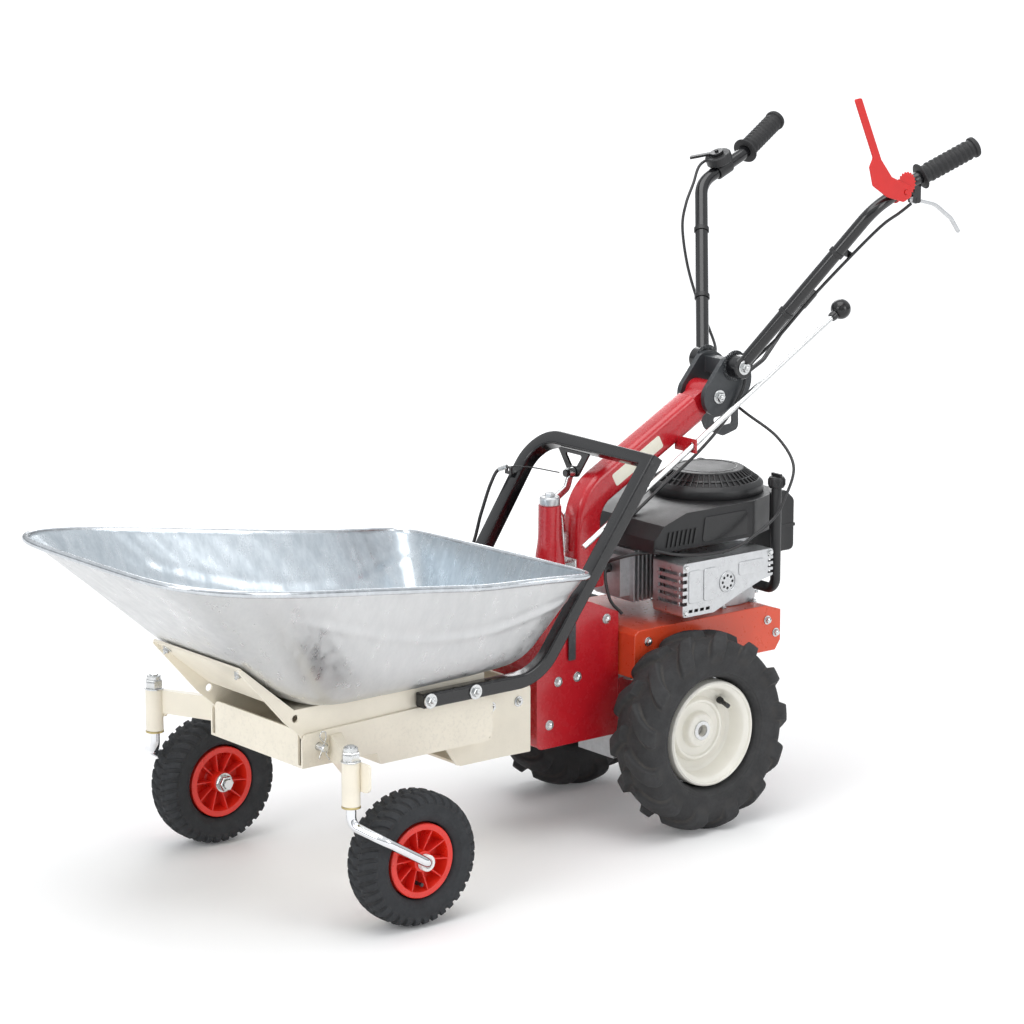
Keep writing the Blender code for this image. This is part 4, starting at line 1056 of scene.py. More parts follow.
def build_kingpin_beam(side, name):
    """Folded channel from the chassis side, outward and forward to the kingpin tube."""
    web = [(.1304, -.750), (KINGPIN_X, -.8145), (KINGPIN_X, -.8105), (.1304, -.746)]
    wing = [(.1304, -.750), (KINGPIN_X, -.8145), (KINGPIN_X, -.8055), (.1304, -.726)]
    gusset = [(.262, .2865), (.262, .240), (.3137, .240), (.3137, .2865)]
    shapes = [prism(web, "Z", .2465, .2865), prism(wing, "Z", .2465, .2505),
              prism(wing, "Z", .2825, .2865),
              cylinder_z(KINGPIN_X, KINGPIN_Y, .2167, .2871, .0148, 48),
              plate(gusset, [.002, .006, .014, .004], "Y",
                    KINGPIN_Y + .0100, KINGPIN_Y + .0145)]
    cuts = [cylinder_z(KINGPIN_X, KINGPIN_Y, .2, .3, KINGPIN_BORE, 48)]
    beam = fuse_side(side, "kingpin_beam_" + name, shapes, cuts)
    piece("kingpin_beam_" + name, beam, "cream", "caster_beam_" + name, bevel=.0007)
    piece("kingpin_washer_" + name,
          washer((side * KINGPIN_X, KINGPIN_Y, .2131), UP, .0155, KINGPIN_BORE, .0032), "brass")


def build_pivot():
    pin = lathe([(0, -.1396), (.0075, -.1396), (.009, -.1380), (.009, -.1303), (.006, -.1300),
                 (.006, .1475), (.0048, .149), (0, .149)], (0, PIVOT_Y, PIVOT_Z), LEFT, 32)
    piece("pivot_pin_turned", pin, "zinc", "pivot_pin", smooth=40)
    clip = sweep(fillet_path(R_CLIP, R_CLIP_RADII, 5), circle(.0012, 12), up=LEFT)
    piece("r_clip", clip, "zinc", "pivot_clip")


# ---------------------------------------------------------------- tyres
def tyre_section(centre, depth, half_width, tread_power, wall_power, end, steps, bead):
    """Rows of [radius, x, normal radius, normal x, angle] round a tyre.

    The angle is 0 in the middle of the tread and +-end degrees at the beads; the powers
    square off the curve. bead has the plain (radius, x) points inside the rim.
    """
    out = []
    for k in range(steps + 1):
        a = math.radians(-end + 2 * end * k / steps)
        sine, cosine = math.sin(a), math.cos(a)
        x = half_width * math.copysign(abs(sine) ** wall_power, sine)
        r = centre + depth * math.copysign(abs(cosine) ** tread_power, cosine)
        out.append([r, x, 0, 0, a])
    for k, row in enumerate(out):
        a, b = out[max(k - 1, 0)], out[min(k + 1, len(out) - 1)]
        dr, dx = b[0] - a[0], b[1] - a[1]
        size = math.hypot(dr, dx) or 1
        row[2], row[3] = dx / size, -dr / size
    return out + [[r, x, 0, 0, None] for r, x in bead]


def tyre_mesh(centre, section, steps, lift):
    """A ring tyre; lift(turn, x, angle) gives the height of the lugs."""
    bm = bmesh.new()
    centre = Vector(centre)
    rows = []
    for k in range(steps):
        t = 2 * math.pi * k / steps
        row = []
        for r, x, normal_r, normal_x, angle in section:
            d = lift(t, x, angle) if angle is not None else 0.0
            radius, across = r + normal_r * d, x + normal_x * d
            row.append(bm.verts.new(centre + Vector((across, radius * math.cos(t),
                                                     radius * math.sin(t)))))
        rows.append(row)
    n = len(section)
    for k in range(steps):
        a, b = rows[k], rows[(k + 1) % steps]
        for j in range(n):
            bm.faces.new((a[j], a[(j + 1) % n], b[(j + 1) % n], b[j]))
    bmesh.ops.recalc_face_normals(bm, faces=bm.faces)
    return bm


def smoothstep(value, low, high):
    t = max(0.0, min(1.0, (value - low) / (high - low)))
    return t * t * (3 - 2 * t)


def moulded_ring(degrees, at, width, height):
    return height * math.exp(-((degrees - at) / width) ** 2)


def caster_lift(turn, x, angle):
    """Fine blocks in two staggered halves, and a ring on the sidewall."""
    half = 1 if x >= 0 else 0
    degrees = math.degrees(abs(angle))
    if abs(angle) > math.radians(80):
        return moulded_ring(degrees, at=104, width=2.0, height=.0008)
    blocks = 36
    phase = (blocks * (turn / (2 * math.pi)) + .5 * half + 3.0 * abs(x) / .035 * .28) % 1.0
    lug = smoothstep(.33 - abs(phase - .5), -.02, .05)
    centre_groove = smoothstep(abs(x), .0010, .0022)
    fade = 1 - smoothstep(degrees, 62, 76)
    notch = (.45 * smoothstep(.20 - abs(((phase * 2) % 1.0) - .5), -.04, .04)
             * (1 - smoothstep(abs(x), .016, .020)) * smoothstep(abs(x), .010, .013))
    return .0040 * lug * centre_groove * fade * (1 - notch)


def drive_lift(turn, x, angle):
    """Deep slanted bars in two staggered halves, and two rings on the sidewall."""
    half = 1 if x >= 0 else 0
    degrees = math.degrees(abs(angle))
    bars = 13
    share = abs(x) / .044
    phase = (bars * (turn / (2 * math.pi)) + .5 * half - .62 * share ** 1.15 + .35) % 1.0
    lug = smoothstep(.17 + .05 * share - abs(phase - .5), -.045, .045)
    fade = 1 - smoothstep(degrees, 64, 92)
    start = smoothstep(abs(x), -.001, .003) if half else smoothstep(abs(x), .001, .005)
    rings = (moulded_ring(degrees, at=118, width=2.5, height=.0010)
             + moulded_ring(degrees, at=128, width=2.0, height=.0006))
    return .0112 * lug * fade * start + rings


CASTER_SECTION = tyre_section(
    centre=.0835, depth=.0225, half_width=.0345, tread_power=.72, wall_power=.62, end=148,
    steps=84, bead=[(.0650, .018), (.0625, .0), (.0650, -.018)])
DRIVE_SECTION = tyre_section(
    centre=.1290, depth=.0334, half_width=.0445, tread_power=.62, wall_power=.60, end=150,
    steps=92, bead=[(.0970, .024), (.0935, .0), (.0970, -.024)])

# ---------------------------------------------------------------- wheels
CASTER_X, CASTER_Y, CASTER_Z = .2815, -.7004, .110   # caster wheel centre
CASTER_ARM_X = .335
DRIVE_X, DRIVE_Z = .1749, .1736                      # drive wheel centre
AXLE_BORE = .0104
# (radius, x) of the turned rims; x is measured from the wheel's middle
CASTER_RIM = [
    (.0086, -.0335), (.0150, -.0335), (.0172, -.0315), (.0185, -.012), (.0215, -.0095),
    (.0445, -.0105), (.0475, -.0135), (.0500, -.0270), (.0512, -.0290), (.0600, -.0292),
    (.0612, -.0280), (.0612, .0280), (.0600, .0292), (.0512, .0290), (.0500, .0270),
    (.0475, .0100), (.0445, .0065), (.0215, .0055), (.0185, .0080), (.0172, .0315),
    (.0150, .0335), (.0086, .0335)]
DRIVE_RIM = [
    (AXLE_BORE, -.0285), (.026, -.0285), (.028, -.0265), (.028, -.012), (.070, -.014),
    (.075, -.020), (.078, -.034), (.0885, -.0362), (.0915, -.0345), (.0930, -.026),
    (.0930, .026), (.0915, .0345), (.0885, .0372), (.0868, .0366), (.0855, .0325),
    (.0800, .0290), (.0775, .0250), (.0765, .0060), (.0740, -.0050), (.0690, -.0090),
    (.0600, -.0098), (.0570, -.0085), (.0545, -.0030), (.0515, -.0008), (.0480, -.0012),
    (.0460, -.0050), (.0425, -.0068), (.0330, -.0066), (.0315, -.0050), (.0305, .0010),
    (.0285, .0052), (.0260, .0068), (AXLE_BORE, .0070)]


def caster_hub(centre):
    """Turned rim with ten ribs on each face of its web."""
    parts = [lathe(CASTER_RIM, centre, LEFT, 96)]
    for k in range(10):
        turn = 2 * math.pi * (k + .35) / 10
        for x0, x1 in ((.0050, .0285), (-.0285, -.0100)):
            rib = box(x0, x1, -.0009, .0009, .016, .0505)
            for v in rib.verts:  # the rib's edge falls towards the hub
                if abs(v.co.x) > .02 and v.co.z < .03:
                    v.co.x *= .78
            matrix = Matrix.Translation(Vector(centre)) @ Matrix.Rotation(turn, 4, "X")
            bmesh.ops.transform(rib, matrix=matrix, verts=rib.verts)
            parts.append(rib)
    return join(*parts)


def build_caster_wheel(side, name):
    body = "caster_wheel_" + name
    centre = (side * CASTER_X, CASTER_Y, CASTER_Z)
    piece("caster_tread_" + name, tyre_mesh(centre, CASTER_SECTION, 576, caster_lift),
          "caster_tyre", "caster_tyre_" + name, body, smooth=50)
    piece("caster_hub_" + name, caster_hub(centre), "rim_red", "caster_rim_" + name, body)
    radius, turn = .038, 4.6  # where the valve stands, in metres and radians
    place = (side * (CASTER_X + .010), CASTER_Y + radius * math.cos(turn),
             CASTER_Z + radius * math.sin(turn))
    valve = lathe([(0, 0), (.0035, 0), (.0035, .010), (.0026, .011), (.0026, .018),
                   (.0032, .0185), (.0032, .0235), (0, .024)], place, (side, 0, 0), 20)
    piece("caster_valve_" + name, valve, "plastic", body=body)


def kingpin_nut():
    """Washer, hexagon, locking collar and the pin's end."""
    place = (KINGPIN_X, KINGPIN_Y, 0)
    bore = KINGPIN_BORE / HEX
    return join(
        washer((KINGPIN_X, KINGPIN_Y, .2876), UP, .0160, KINGPIN_BORE, .0022),
        lathe([(bore, .2899), (.0142, .2899), (.0152, .2912), (.0152, .3030), (.0138, .3048),
               (bore, .3048)], place, UP, 6),
        lathe([(KINGPIN_BORE, .3050), (.0118, .3050), (.0118, .3100), (.0105, .3118),
               (KINGPIN_BORE, .3118)], place, UP, 40),
        lathe([(0, .3062), (.0078, .3062), (.0078, .3120), (.0072, .3138), (0, .3142)],
              place, UP, 32))


def build_caster_arm(side, name):
    """Bent rod from the kingpin round the outside of the wheel, with its nuts and spacer."""
    path = fillet_path([(KINGPIN_X, KINGPIN_Y, .306), (KINGPIN_X, KINGPIN_Y, .184),
                        (CASTER_ARM_X, -.796, .168), (CASTER_ARM_X, CASTER_Y, CASTER_Z),
                        (.232, CASTER_Y, CASTER_Z)], [.018, .024, .020], 14)
    bore = KINGPIN_BORE / HEX
    axle_nut = join(
        lathe([(bore, 0), (.0128, 0), (.0136, .001), (.0136, .0085), (.0128, .0095),
               (bore, .0095)], (.2365, CASTER_Y, CASTER_Z), LEFT, 6),
        washer((.2463, CASTER_Y, CASTER_Z), LEFT, .0165, KINGPIN_BORE, .0012))
    spacer = lathe([(.0085, 0), (.0125, 0), (.0135, .001), (.0135, .0098), (.0125, .0108),
                    (.0085, .0108)], (.3158, CASTER_Y, CASTER_Z), LEFT, 48)
    for prefix, shape, material, node in (
            ("bent_arm_", sweep(path, circle(.008, 32), up=(0, 1, 0)), "chrome",
             "caster_arm_"),
            ("kingpin_locknut_", kingpin_nut(), "zinc", "kingpin_nut_"),
            ("axle_locknut_", axle_nut, "zinc", "caster_axle_nut_"),
            ("hub_spacer_", spacer, "nylon", None)):
        if side < 0:
            mirror_x(shape)
        piece(prefix + name, shape, material, node and node + name, "caster_" + name)


def build_drive_wheel(side, name):
    body = "drive_wheels"
    tread = tyre_mesh((side * DRIVE_X, 0, DRIVE_Z), DRIVE_SECTION, 624, drive_lift)
    piece("drive_tread_" + name, tread, "drive_tyre", "drive_tyre_" + name, body, smooth=50)
    dish = lathe(DRIVE_RIM, (DRIVE_X, 0, DRIVE_Z), LEFT, 128)
    if side < 0:
        mirror_x(dish)
    piece("drive_dish_" + name, dish, "rim_white", "drive_rim_" + name, body, smooth=32)
    radius, turn = .066, math.radians(42 if side > 0 else 130)  # where the valve stands
    place = (side * (DRIVE_X - .004), radius * math.cos(turn),
             DRIVE_Z + radius * math.sin(turn))
    lean = (side * .9, .35 * math.cos(turn) * -.6, .35 * math.sin(turn) * -.6)
    stem = lathe([(0, 0), (.006, 0), (.0058, .006), (.0042, .009), (.0036, .022),
                  (.0042, .0225), (.0042, .030), (0, .031)], place, lean, 24)
    piece("valve_stem_" + name, stem, "plastic", body=body)
    piece("axle_washer_" + name, washer((side * (DRIVE_X + .0073), 0, DRIVE_Z), (side, 0, 0),
                                        .0170, AXLE_BORE, .0025), "zinc", body=body)
    piece("axle_key_" + name, box(*span(side, .150, .171), -.003, .003, DRIVE_Z + .0080,
                                  DRIVE_Z + .0102), "steel", body=body, bevel=.0004)


# ---------------------------------------------------------------- deck and front shield
# (y, z) of the deck's outer skin and of the space inside it
DECK_OUTER = [(-.1, .268), (-.1, .344), (-.090, .352), (.200, .352), (.237, .340),
              (.237, .285), (.225, .268)]
DECK_INNER = [(-.097, .20), (-.097, .3432), (-.0888, .349), (.1993, .349), (.234, .3378),
              (.234, .2858), (.2225, .20)]
DECK_X, SHIELD_X = .12, .08   # half widths
SHEET = .003
# (y, z) of the front shield, outer (with corner radii) and inner
SHIELD_OUTER = [(-.282, .164), (-.282, .300), (-.262, .345), (-.225, .390), (-.195, .405),
                (-.165, .407), (-.1025, .380), (-.1025, .164)]
SHIELD_RADII = [.012, .03, .03, .03, .02, .02, .004, .004]
SHIELD_INNER = [(-.279, .10), (-.279, .2994), (-.2595, .3435), (-.2233, .3877),
                (-.1943, .4018), (-.1656, .4037), (-.10, .377), (-.08, .377), (-.08, .10)]
CRANK_X, CRANK_Y = 0, .165
# (side, y, z) of each bolt
DECK_BOLTS = [(1, .205, .325), (1, .225, .300), (-1, .205, .325), (-1, .225, .300),
              (1, -.070, .330), (-1, -.070, .330)]
SHIELD_BOLTS = [(1, -.236, .278), (1, -.194, .280), (1, -.130, .372), (1, -.255, .205),
                (-1, -.236, .278), (-1, -.194, .280), (-1, -.130, .372)]


def build_deck():
    deck = fuse("deck_tray", [prism(DECK_OUTER, "X", -DECK_X, DECK_X)],
                [prism(DECK_INNER, "X", -DECK_X + SHEET, DECK_X - SHEET),
                 cylinder_z(CRANK_X, CRANK_Y, .3, .4, .0205, 48)])
    piece("deck_tray", deck, "orange", "engine_deck", bevel=.0022, bevel_segments=3)
    for k, (side, y, z) in enumerate(DECK_BOLTS):
        bolt_piece("deck_bolt_%d" % (k + 1), "deck", (side * (DECK_X + .0002), y, z),
                   (side, 0, 0))


def build_shield():
    shield = fuse("front_shield",
                  [plate(SHIELD_OUTER, SHIELD_RADII, "X", -SHIELD_X, SHIELD_X)],
                  [prism(SHIELD_INNER, "X", -SHIELD_X + SHEET, SHIELD_X - SHEET)])
    piece("front_shield", shield, "red", "front_guard", bevel=.0016, bevel_segments=3)
    for k, (side, y, z) in enumerate(SHIELD_BOLTS):
        bolt_piece("shield_bolt_%d" % (k + 1), "shield", (side * (SHIELD_X + .0002), y, z),
                   (side, 0, 0))
    for side, name in SIDES:
        rear = plate(rectangle(-.100, -.010, .164, .262), .004, "X", .0765, .0795, 4)
        piece("shield_rear_plate_" + name, rear if side > 0 else mirror_x(rear), "red",
              bevel=.0006)
    strap = plate(rectangle(-.216, -.201, .312, .396), .002, "X", .0826, .0850, 4)
    piece("shield_strap", strap, "grey", slot="zinc_steel", bevel=.0004)


# ---------------------------------------------------------------- mast and column
MAST_X, MAST_Y = .030, -.214
COLUMN_FOOT, COLUMN_BEND, COLUMN_TOP = (0, -.118, .412), (0, -.118, .5655), (0, .125, .6974)
BARREL_Y, BARREL_Z = .160, .7165      # barrel that the handlebar clamp tilts on
GEAR_X = .06
# (radius, z) of the turned mast
MAST = [(0, .4085), (.030, .4085), (.030, .4125), (.0285, .415), (.0268, .420),
        (.0262, .440), (.0258, .470), (.0240, .490), (.0212, .508), (.0200, .522),
        (.0196, .560), (.0196, .5735), (0, .5735)]


def gear_point(y):
    """A point on the gear rod's centreline."""
    return Vector((GEAR_X, y, .481 + (y + .194) * .5913))


def build_mast():
    piece("mast_tube", lathe(MAST, (MAST_X, MAST_Y, 0), UP, 64), "red", "mast", smooth=30)
    cap = lathe([(0, .5736), (.0170, .5736), (.0175, .5745), (.0175, .5860), (.0160, .5885),
                 (0, .5890)], (MAST_X, MAST_Y, 0), UP, 48)
    cap = join(cap, hexagon((MAST_X, MAST_Y, .5890), UP, .0078, .0060))
    piece("mast_cap", cap, "guard", bevel=.0004)
    striker = [plate(rectangle(-.020, .020, .448, .468), .003, "Y", -.1505, -.1467, 5),
               cylinder((-.006, -.149, .460), (-.006, -.170, .460), .004, 28)]
    piece("striker_pin", fuse("striker_pin", striker), "zinc", "latch_striker", bevel=.0005)


def build_column():
    path = fillet_path([COLUMN_FOOT, COLUMN_BEND, COLUMN_TOP], [.07], 16)
    web = [(.100, .670), (.110, .712), (.150, .735), (.165, .700), (.120, .668)]
    shapes = [sweep(path, rounded_rect(.056, .044, .012, 6), up=(0, 1, 0)),
              cylinder_x(-.026, .026, BARREL_Y, BARREL_Z, .025, 48),
              prism(web, "X", -.018, .018),
              box(.014, .069, .078, .082, .631, .655)]  # lug that guides the gear rod
    cuts = [cylinder_x(-.05, .05, BARREL_Y, BARREL_Z, .0063, 28),
            cylinder(gear_point(.05), gear_point(.11), .0062, 24)]
    piece("steering_tube", fuse("steering_tube", shapes, cuts), "red", "steering_column",
          smooth=30, bevel=.0010)

    along = Vector((0, COLUMN_TOP[1] - COLUMN_BEND[1], COLUMN_TOP[2] - COLUMN_BEND[2]))
    along.normalize()
    across = Vector((0, -along.z, along.y))
    base = Vector(COLUMN_BEND) + along * .060
    corners = [base + along * a + across * b for a, b in rectangle(0, .120, -.012, .012)]
    outline = [(v.y, v.z) for v in corners]
    for side, name in SIDES:
        label = plate(outline, .004, "X", *span(side, .02205, .02235), 5)
        piece("column_label_" + name, label, "label")
    gusset = [(-.146, .413), (-.090, .413), (-.090, .470), (-.1463, .440)]
    piece("column_gusset", plate(gusset, .004, "X", .0225, .0255, 4), "red", bevel=.0006)


# ---------------------------------------------------------------- engine
CRANK = (CRANK_X, CRANK_Y, 0)
# (x, y) of the fan cowl seen from above, outer (with corner radii) and inner
COWL_OUTER = [(.125, -.060), (.125, .165), (.100, .225), (.055, .262), (-.055, .262),
              (-.100, .225), (-.125, .165), (-.125, -.060)]
COWL_RADII = [.006, .030, .022, .022, .022, .022, .030, .006]
COWL_INNER = [(.122, .070), (.122, .1642), (.0977, .2226), (.0540, .259), (-.0540, .259),
              (-.0977, .2226), (-.122, .1642), (-.122, .070)]
# (y, z) cut off the cowl's front top, and of the hollow under its front
COWL_SLOPE = [(-.080, .482), (-.040, .528), (.0247, .550), (.0247, .57), (-.08, .57)]
COWL_FRONT = [(-.057, .470), (-.057, .5040), (-.0385, .5252), (.0115, .5418), (.080, .5418),
              (.080, .470)]
# (radius, z) of the starter dome, with a sunk ring for the grille
STARTER = [
    (.1000, .5454), (.1004, .5462), (.1004, .5590), (.0995, .5612), (.0930, .5676),
    (.0914, .5678), (.0905, .5655), (.0668, .5822), (.0664, .5852), (.0650, .5864),
    (.0600, .5871), (.0300, .5872), (0, .5872), (0, .5840), (.0595, .5840), (.0640, .5806),
    (.0890, .5632), (.0965, .5590), (.0970, .5454)]
SPOKE = [(.0912, .5668), (.0790, .5752), (.0664, .5840)]   # (radius, z) of a grille spoke


def build_crankcase():
    shapes = [cylinder_z(CRANK_X, CRANK_Y, .3525, .4035, .088, 64),
              cylinder_z(CRANK_X, CRANK_Y, .400, .472, .076, 64),
              box(-.032, .032, -.045, .110, .392, .466)]
    fins = 9
    for k in range(fins):
        y = -.045 + .075 * k / (fins - 1)
        shapes.append(box(-.052, .052, y, y + .0035, .382, .474))
    shapes.append(box(-.040, .040, -.066, -.045, .392, .466))
    case = fuse("crankcase", shapes, [cylinder_z(CRANK_X, CRANK_Y, .3, .5, .0135, 32)])
    piece("crankcase", case, "cast", "engine_block", smooth=30, bevel=.0006)
    for k in range(8):
        turn = 2 * math.pi * (k + .5) / 8
        bolt_piece("sump_bolt_%d" % (k + 1), "sump",
                   (.094 * math.cos(turn), CRANK_Y + .094 * math.sin(turn), .3526), UP)


def build_cowl():
    cuts = [prism(COWL_SLOPE, "X", -.13, .13), prism(COWL_INNER, "Z", .470, .542),
            prism(COWL_FRONT, "X", -.1218, .1218),
            cylinder_z(CRANK_X, CRANK_Y, .5, .6, .080, 64)]
    cowl = fuse("fan_cowl", [plate(COWL_OUTER, COWL_RADII, "Z", .482, .545)], cuts)
    piece("fan_cowl", cowl, "plastic", "engine_cowl", bevel=.0055, bevel_segments=4)
    outline = [(.046, .4885), (.052, .5320), (.150, .5320), (.150, .4885)]
    for side, name in SIDES:
        panel = plate(outline, .006, "X", *span(side, .1252, .1252 + .0016))
        piece("cowl_side_panel_" + name, panel, "gloss", bevel=.0012)
    for k in range(7):
        y = -.036 + k * .010
        rib = [(y, .490), (y + .004, .490), (y + .010, .516), (y + .006, .516)]
        piece("cowl_vent_rib_%d" % (k + 1), plate(rib, .001, "X", .1252, .1275, 3), "plastic",
              bevel=.0004)


def build_starter():
    piece("starter_dome", lathe(STARTER, CRANK, UP, 128), "plastic", "starter_cover",
          smooth=28)
    spokes = []
    for k in range(48):
        turn = 2 * math.pi * k / 48
        out = Vector((math.cos(turn), math.sin(turn), 0))
        path = [Vector(CRANK) + out * r + Vector((0, 0, z)) for r, z in SPOKE]
        spokes.append(sweep(path, rounded_rect(.0030, .0030, .0006, 2)))
    hoop = lathe([(.0780, .5738), (.0810, .5717), (.0816, .5741), (.0788, .5762)],
                 CRANK, UP, 96)
    piece("starter_grille", join(*spokes, hoop), "gloss")
    badge = lathe([(.0520, .5872), (.0545, .5872), (.0542, .5880), (.0523, .5880)],
                  CRANK, UP, 96)
    piece("starter_badge_ring", badge, "gloss")
    collar = lathe([(0, 0), (.006, 0), (.0075, .003), (.0075, .010), (.0055, .013), (0, .014)],
                   (-.086, .220, .5560), (-.5, .6, .62), 28)
    path = smooth_path([(-.094, .220, .569), (-.098, .235, .572), (-.104, .252, .567)], 12)
    piece("recoil_handle", join(collar, sweep(path, rounded_rect(.010, .008, .003, 3))),
          "plastic", bevel=.0008)


def knurls(x, y, z0, z1, radius, count, size, segments):
    """Small upright cylinders round a cap."""
    turns = [2 * math.pi * k / count for k in range(count)]
    return [cylinder_z(x + radius * math.cos(a), y + radius * math.sin(a), z0, z1, size,
                       segments) for a in turns]


def build_tank():
    outline = [(.2650, .425), (.2650, .535), (.302, .535), (.322, .517), (.322, .425)]
    shell = plate(outline, [.004, .006, .012, .012, .010], "X", -.095, .060)
    piece("tank_shell", shell, "plastic", "fuel_tank", bevel=.006, bevel_segments=4)
    seam = plate(rectangle(.2648, .3230, .468, .474), .0015, "X", -.0958, .0608, 3)
    piece("tank_seam", seam, "plastic", bevel=.0015)
    x, y = -.020, .2840
    cap = lathe([(0, 0), (.0155, 0), (.0175, .003), (.0175, .012), (.0155, .015), (0, .016)],
                (x, y, .5352), UP, 64)
    piece("tank_cap", join(cap, *knurls(x, y, .5375, .5480, .0173, 20, .0013, 10)), "plastic")


# (y, z) of the silencer guard, outer (with corner radii) and inner
SILENCER_OUTER = [(-.027, .372), (-.027, .466), (.180, .466), (.180, .418), (.155, .413),
                  (.105, .396), (.044, .372)]
SILENCER_RADII = [.006, .006, .006, .004, .02, .02, .006]
SILENCER_INNER = [(-.024, .375), (-.024, .463), (.177, .463), (.177, .4206), (.1543, .4160),
                  (.1042, .3990), (.0434, .375)]
SILENCER_X = .1600           # the guard's outer face
BOSS_Y, BOSS_Z = .075, .421  # ring of pierced holes


def silencer_cuts():
    """Hollow, louvres at both ends, slots along the foot and a ring of holes."""
    cuts = [prism(SILENCER_INNER, "X", .07, .1575)]
    for k in range(5):
        z = .392 + k * .013
        cuts += [box(.150, .170, -.031, -.017, z, z + .0065),
                 box(.096, .146, -.031, -.020, z, z + .0065)]
        if k < 4:
            cuts.append(box(.150, .170, .168, .185, .4225 + k * .0100, .4275 + k * .0100))
    for k in range(4):
        y = -.014 + k * .013
        cuts.append(prism([(y, .3785), (y + .009, .3785), (y + .010, .3840),
                           (y + .001, .3840)], "X", .15, .17))
    for k in range(8):
        turn = 2 * math.pi * k / 8
        cuts.append(cylinder_x(.150, .170, BOSS_Y + .011 * math.cos(turn),
                               BOSS_Z + .011 * math.sin(turn), .0026, 12))
    return cuts


def build_silencer_guard():
    shell = plate(SILENCER_OUTER, SILENCER_RADII, "X", .082, SILENCER_X, 5)
    piece("silencer_guard", fuse("silencer_guard", [shell], silencer_cuts()), "guard",
          "muffler_guard", bevel=.0010)
    raised = [plate(rectangle(*sizes), .005, "X", SILENCER_X, .1618, 5)
              for sizes in ((-.014, .014, .395, .452), (.020, .050, .395, .452),
                            (.100, .158, .428, .452))]
    raised.append(ring((SILENCER_X, BOSS_Y, BOSS_Z), (.1620, BOSS_Y, BOSS_Z),
                       .019, .0165, 48))
    piece("guard_embossing", join(*raised), "guard", bevel=.0008)
    for k, (y, z) in enumerate(((-.020, .459), (.173, .459), (-.020, .379))):
        bolt_piece("guard_screw_%d" % (k + 1), "guard", (SILENCER_X + .0001, y, z), LEFT)


def build_dipstick():
    x, y = .138, .206
    path = fillet_path([(.0875, y, .384), (x, y, .384), (x, y, .574)], [.02], 14)
    piece("dipstick_tube", sweep(path, circle(.009, 36), up=(0, 1, 0)), "plastic",
          "oil_filler")
    cap = lathe([(0, .566), (.0125, .566), (.0145, .569), (.0145, .582), (.0125, .5855),
                 (0, .586)], (x, y, 0), UP, 48)
    tab = box(.126, .150, .2035, .2085, .586, .591)
    piece("dipstick_cap", join(cap, tab, *knurls(x, y, .5705, .5815, .0144, 16, .0012, 8)),
          "plastic", bevel=.0006)


def build_spark_lead():
    path = smooth_path([(.010, -.068, .440), (.012, -.086, .446), (.045, -.092, .462),
                        (.080, -.070, .476), (.100, -.030, .478), (.105, .010, .470)], 50)
    piece("spark_lead", sweep(path, circle(.0032, 14)), "cable")
    boot = lathe([(0, 0), (.0085, 0), (.0090, .004), (.0080, .012), (.0062, .016), (0, .017)],
                 (.010, -.0665, .440), (0, -1, 0), 28)
    piece("spark_boot", boot, "plastic")


def build_air_cleaner():
    parts = [plate(rectangle(-.010, .150, .402, .500), .012, "X", -.168, -.1300, 8)]
    for k in range(7):
        y = .014 + k * .018
        parts.append(plate(rectangle(y, y + .006, .415, .487), .002, "X", -.1700, -.1678, 4))
    piece("air_cleaner", join(*parts), "plastic", bevel=.0025, bevel_segments=3)
    piece("carburettor_link", box(-.1302, -.090, .040, .110, .410, .460), "cast", bevel=.004,
          bevel_segments=3)


def build_drive_train():
    """The parts kept from the frame take finished surfaces, and the gearbox gets bolts."""
    for part, material in (("gearbox_case", "cast"), ("worm_shaft", "steel"),
                           ("gearbox_pulley", "steel"), ("worm_wheel", "brass"),
                           ("drive_axle", "steel"), ("drive_belt", "belt"),
                           ("crankshaft", "steel"), ("flywheel", "cast"),
                           ("muffler", "cast")):
        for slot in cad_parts[part].material_slots:
            slot.material = MATERIALS[material]
    for k, (x, y) in enumerate(((.075, -.07), (-.075, -.07), (.075, .10), (-.075, .10))):
        bolt_piece("gearbox_bolt_%d" % (k + 1), "gearbox", (x, y, .2588), (0, 0, -1))


# ---------------------------------------------------------------- handlebars
BARS = "handlebars"
LOBE_Y, LOBE_Z = .192, .742              # upper round of the clamp cheeks
ADJUST_Y, ADJUST_Z = .222, .735          # pivot of the adjuster
BAR_FOOT_Y, BAR_FOOT_Z = .195, .768      # turned foot of each bar
BAR_RADIUS = .0115
BAR_CLAMP_BORE = .0119
BAR_LOW, BAR_BEND = (.050, .197, .768), (.2235, .342, 1.050)
GRIP_START, GRIP_END = Vector((.2268, .4495, 1.0980)), Vector((.2545, .545, 1.1425))
CLUTCH = (.2235, .440, 1.059)
BAR_ALONG = Vector((0, .9138, .4061))    # along the bars' upper part, rearward and up
THROTTLE = Vector((-.2235, .392, 1.0722))
THROTTLE_AXIS = Vector((0, -.4061, .9138))
STOP_Y, STOP_Z = .400, 1.077             # pivot of the stop lever
# (y, z) of the loop plate under the clamp, and of its window
RELEASE_LOOP = [(.150, .706), (.172, .712), (.184, .682), (.255, .684), (.256, .640),
                (.220, .631), (.178, .648)]
RELEASE_RADII = [.004, .006, .004, .008, .012, .012, .014]
RELEASE_WINDOW = [(.196, .666), (.240, .669), (.241, .652), (.202, .648)]
# (y, z) of the stop lever
STOP_BLADE = [(.275, 1.245), (.291, 1.247), (.302, 1.222), (.340, 1.138), (.366, 1.106),
              (.394, 1.094), (.412, 1.086), (.414, 1.068), (.395, 1.060), (.356, 1.072),
              (.322, 1.094), (.313, 1.127), (.321, 1.142)]


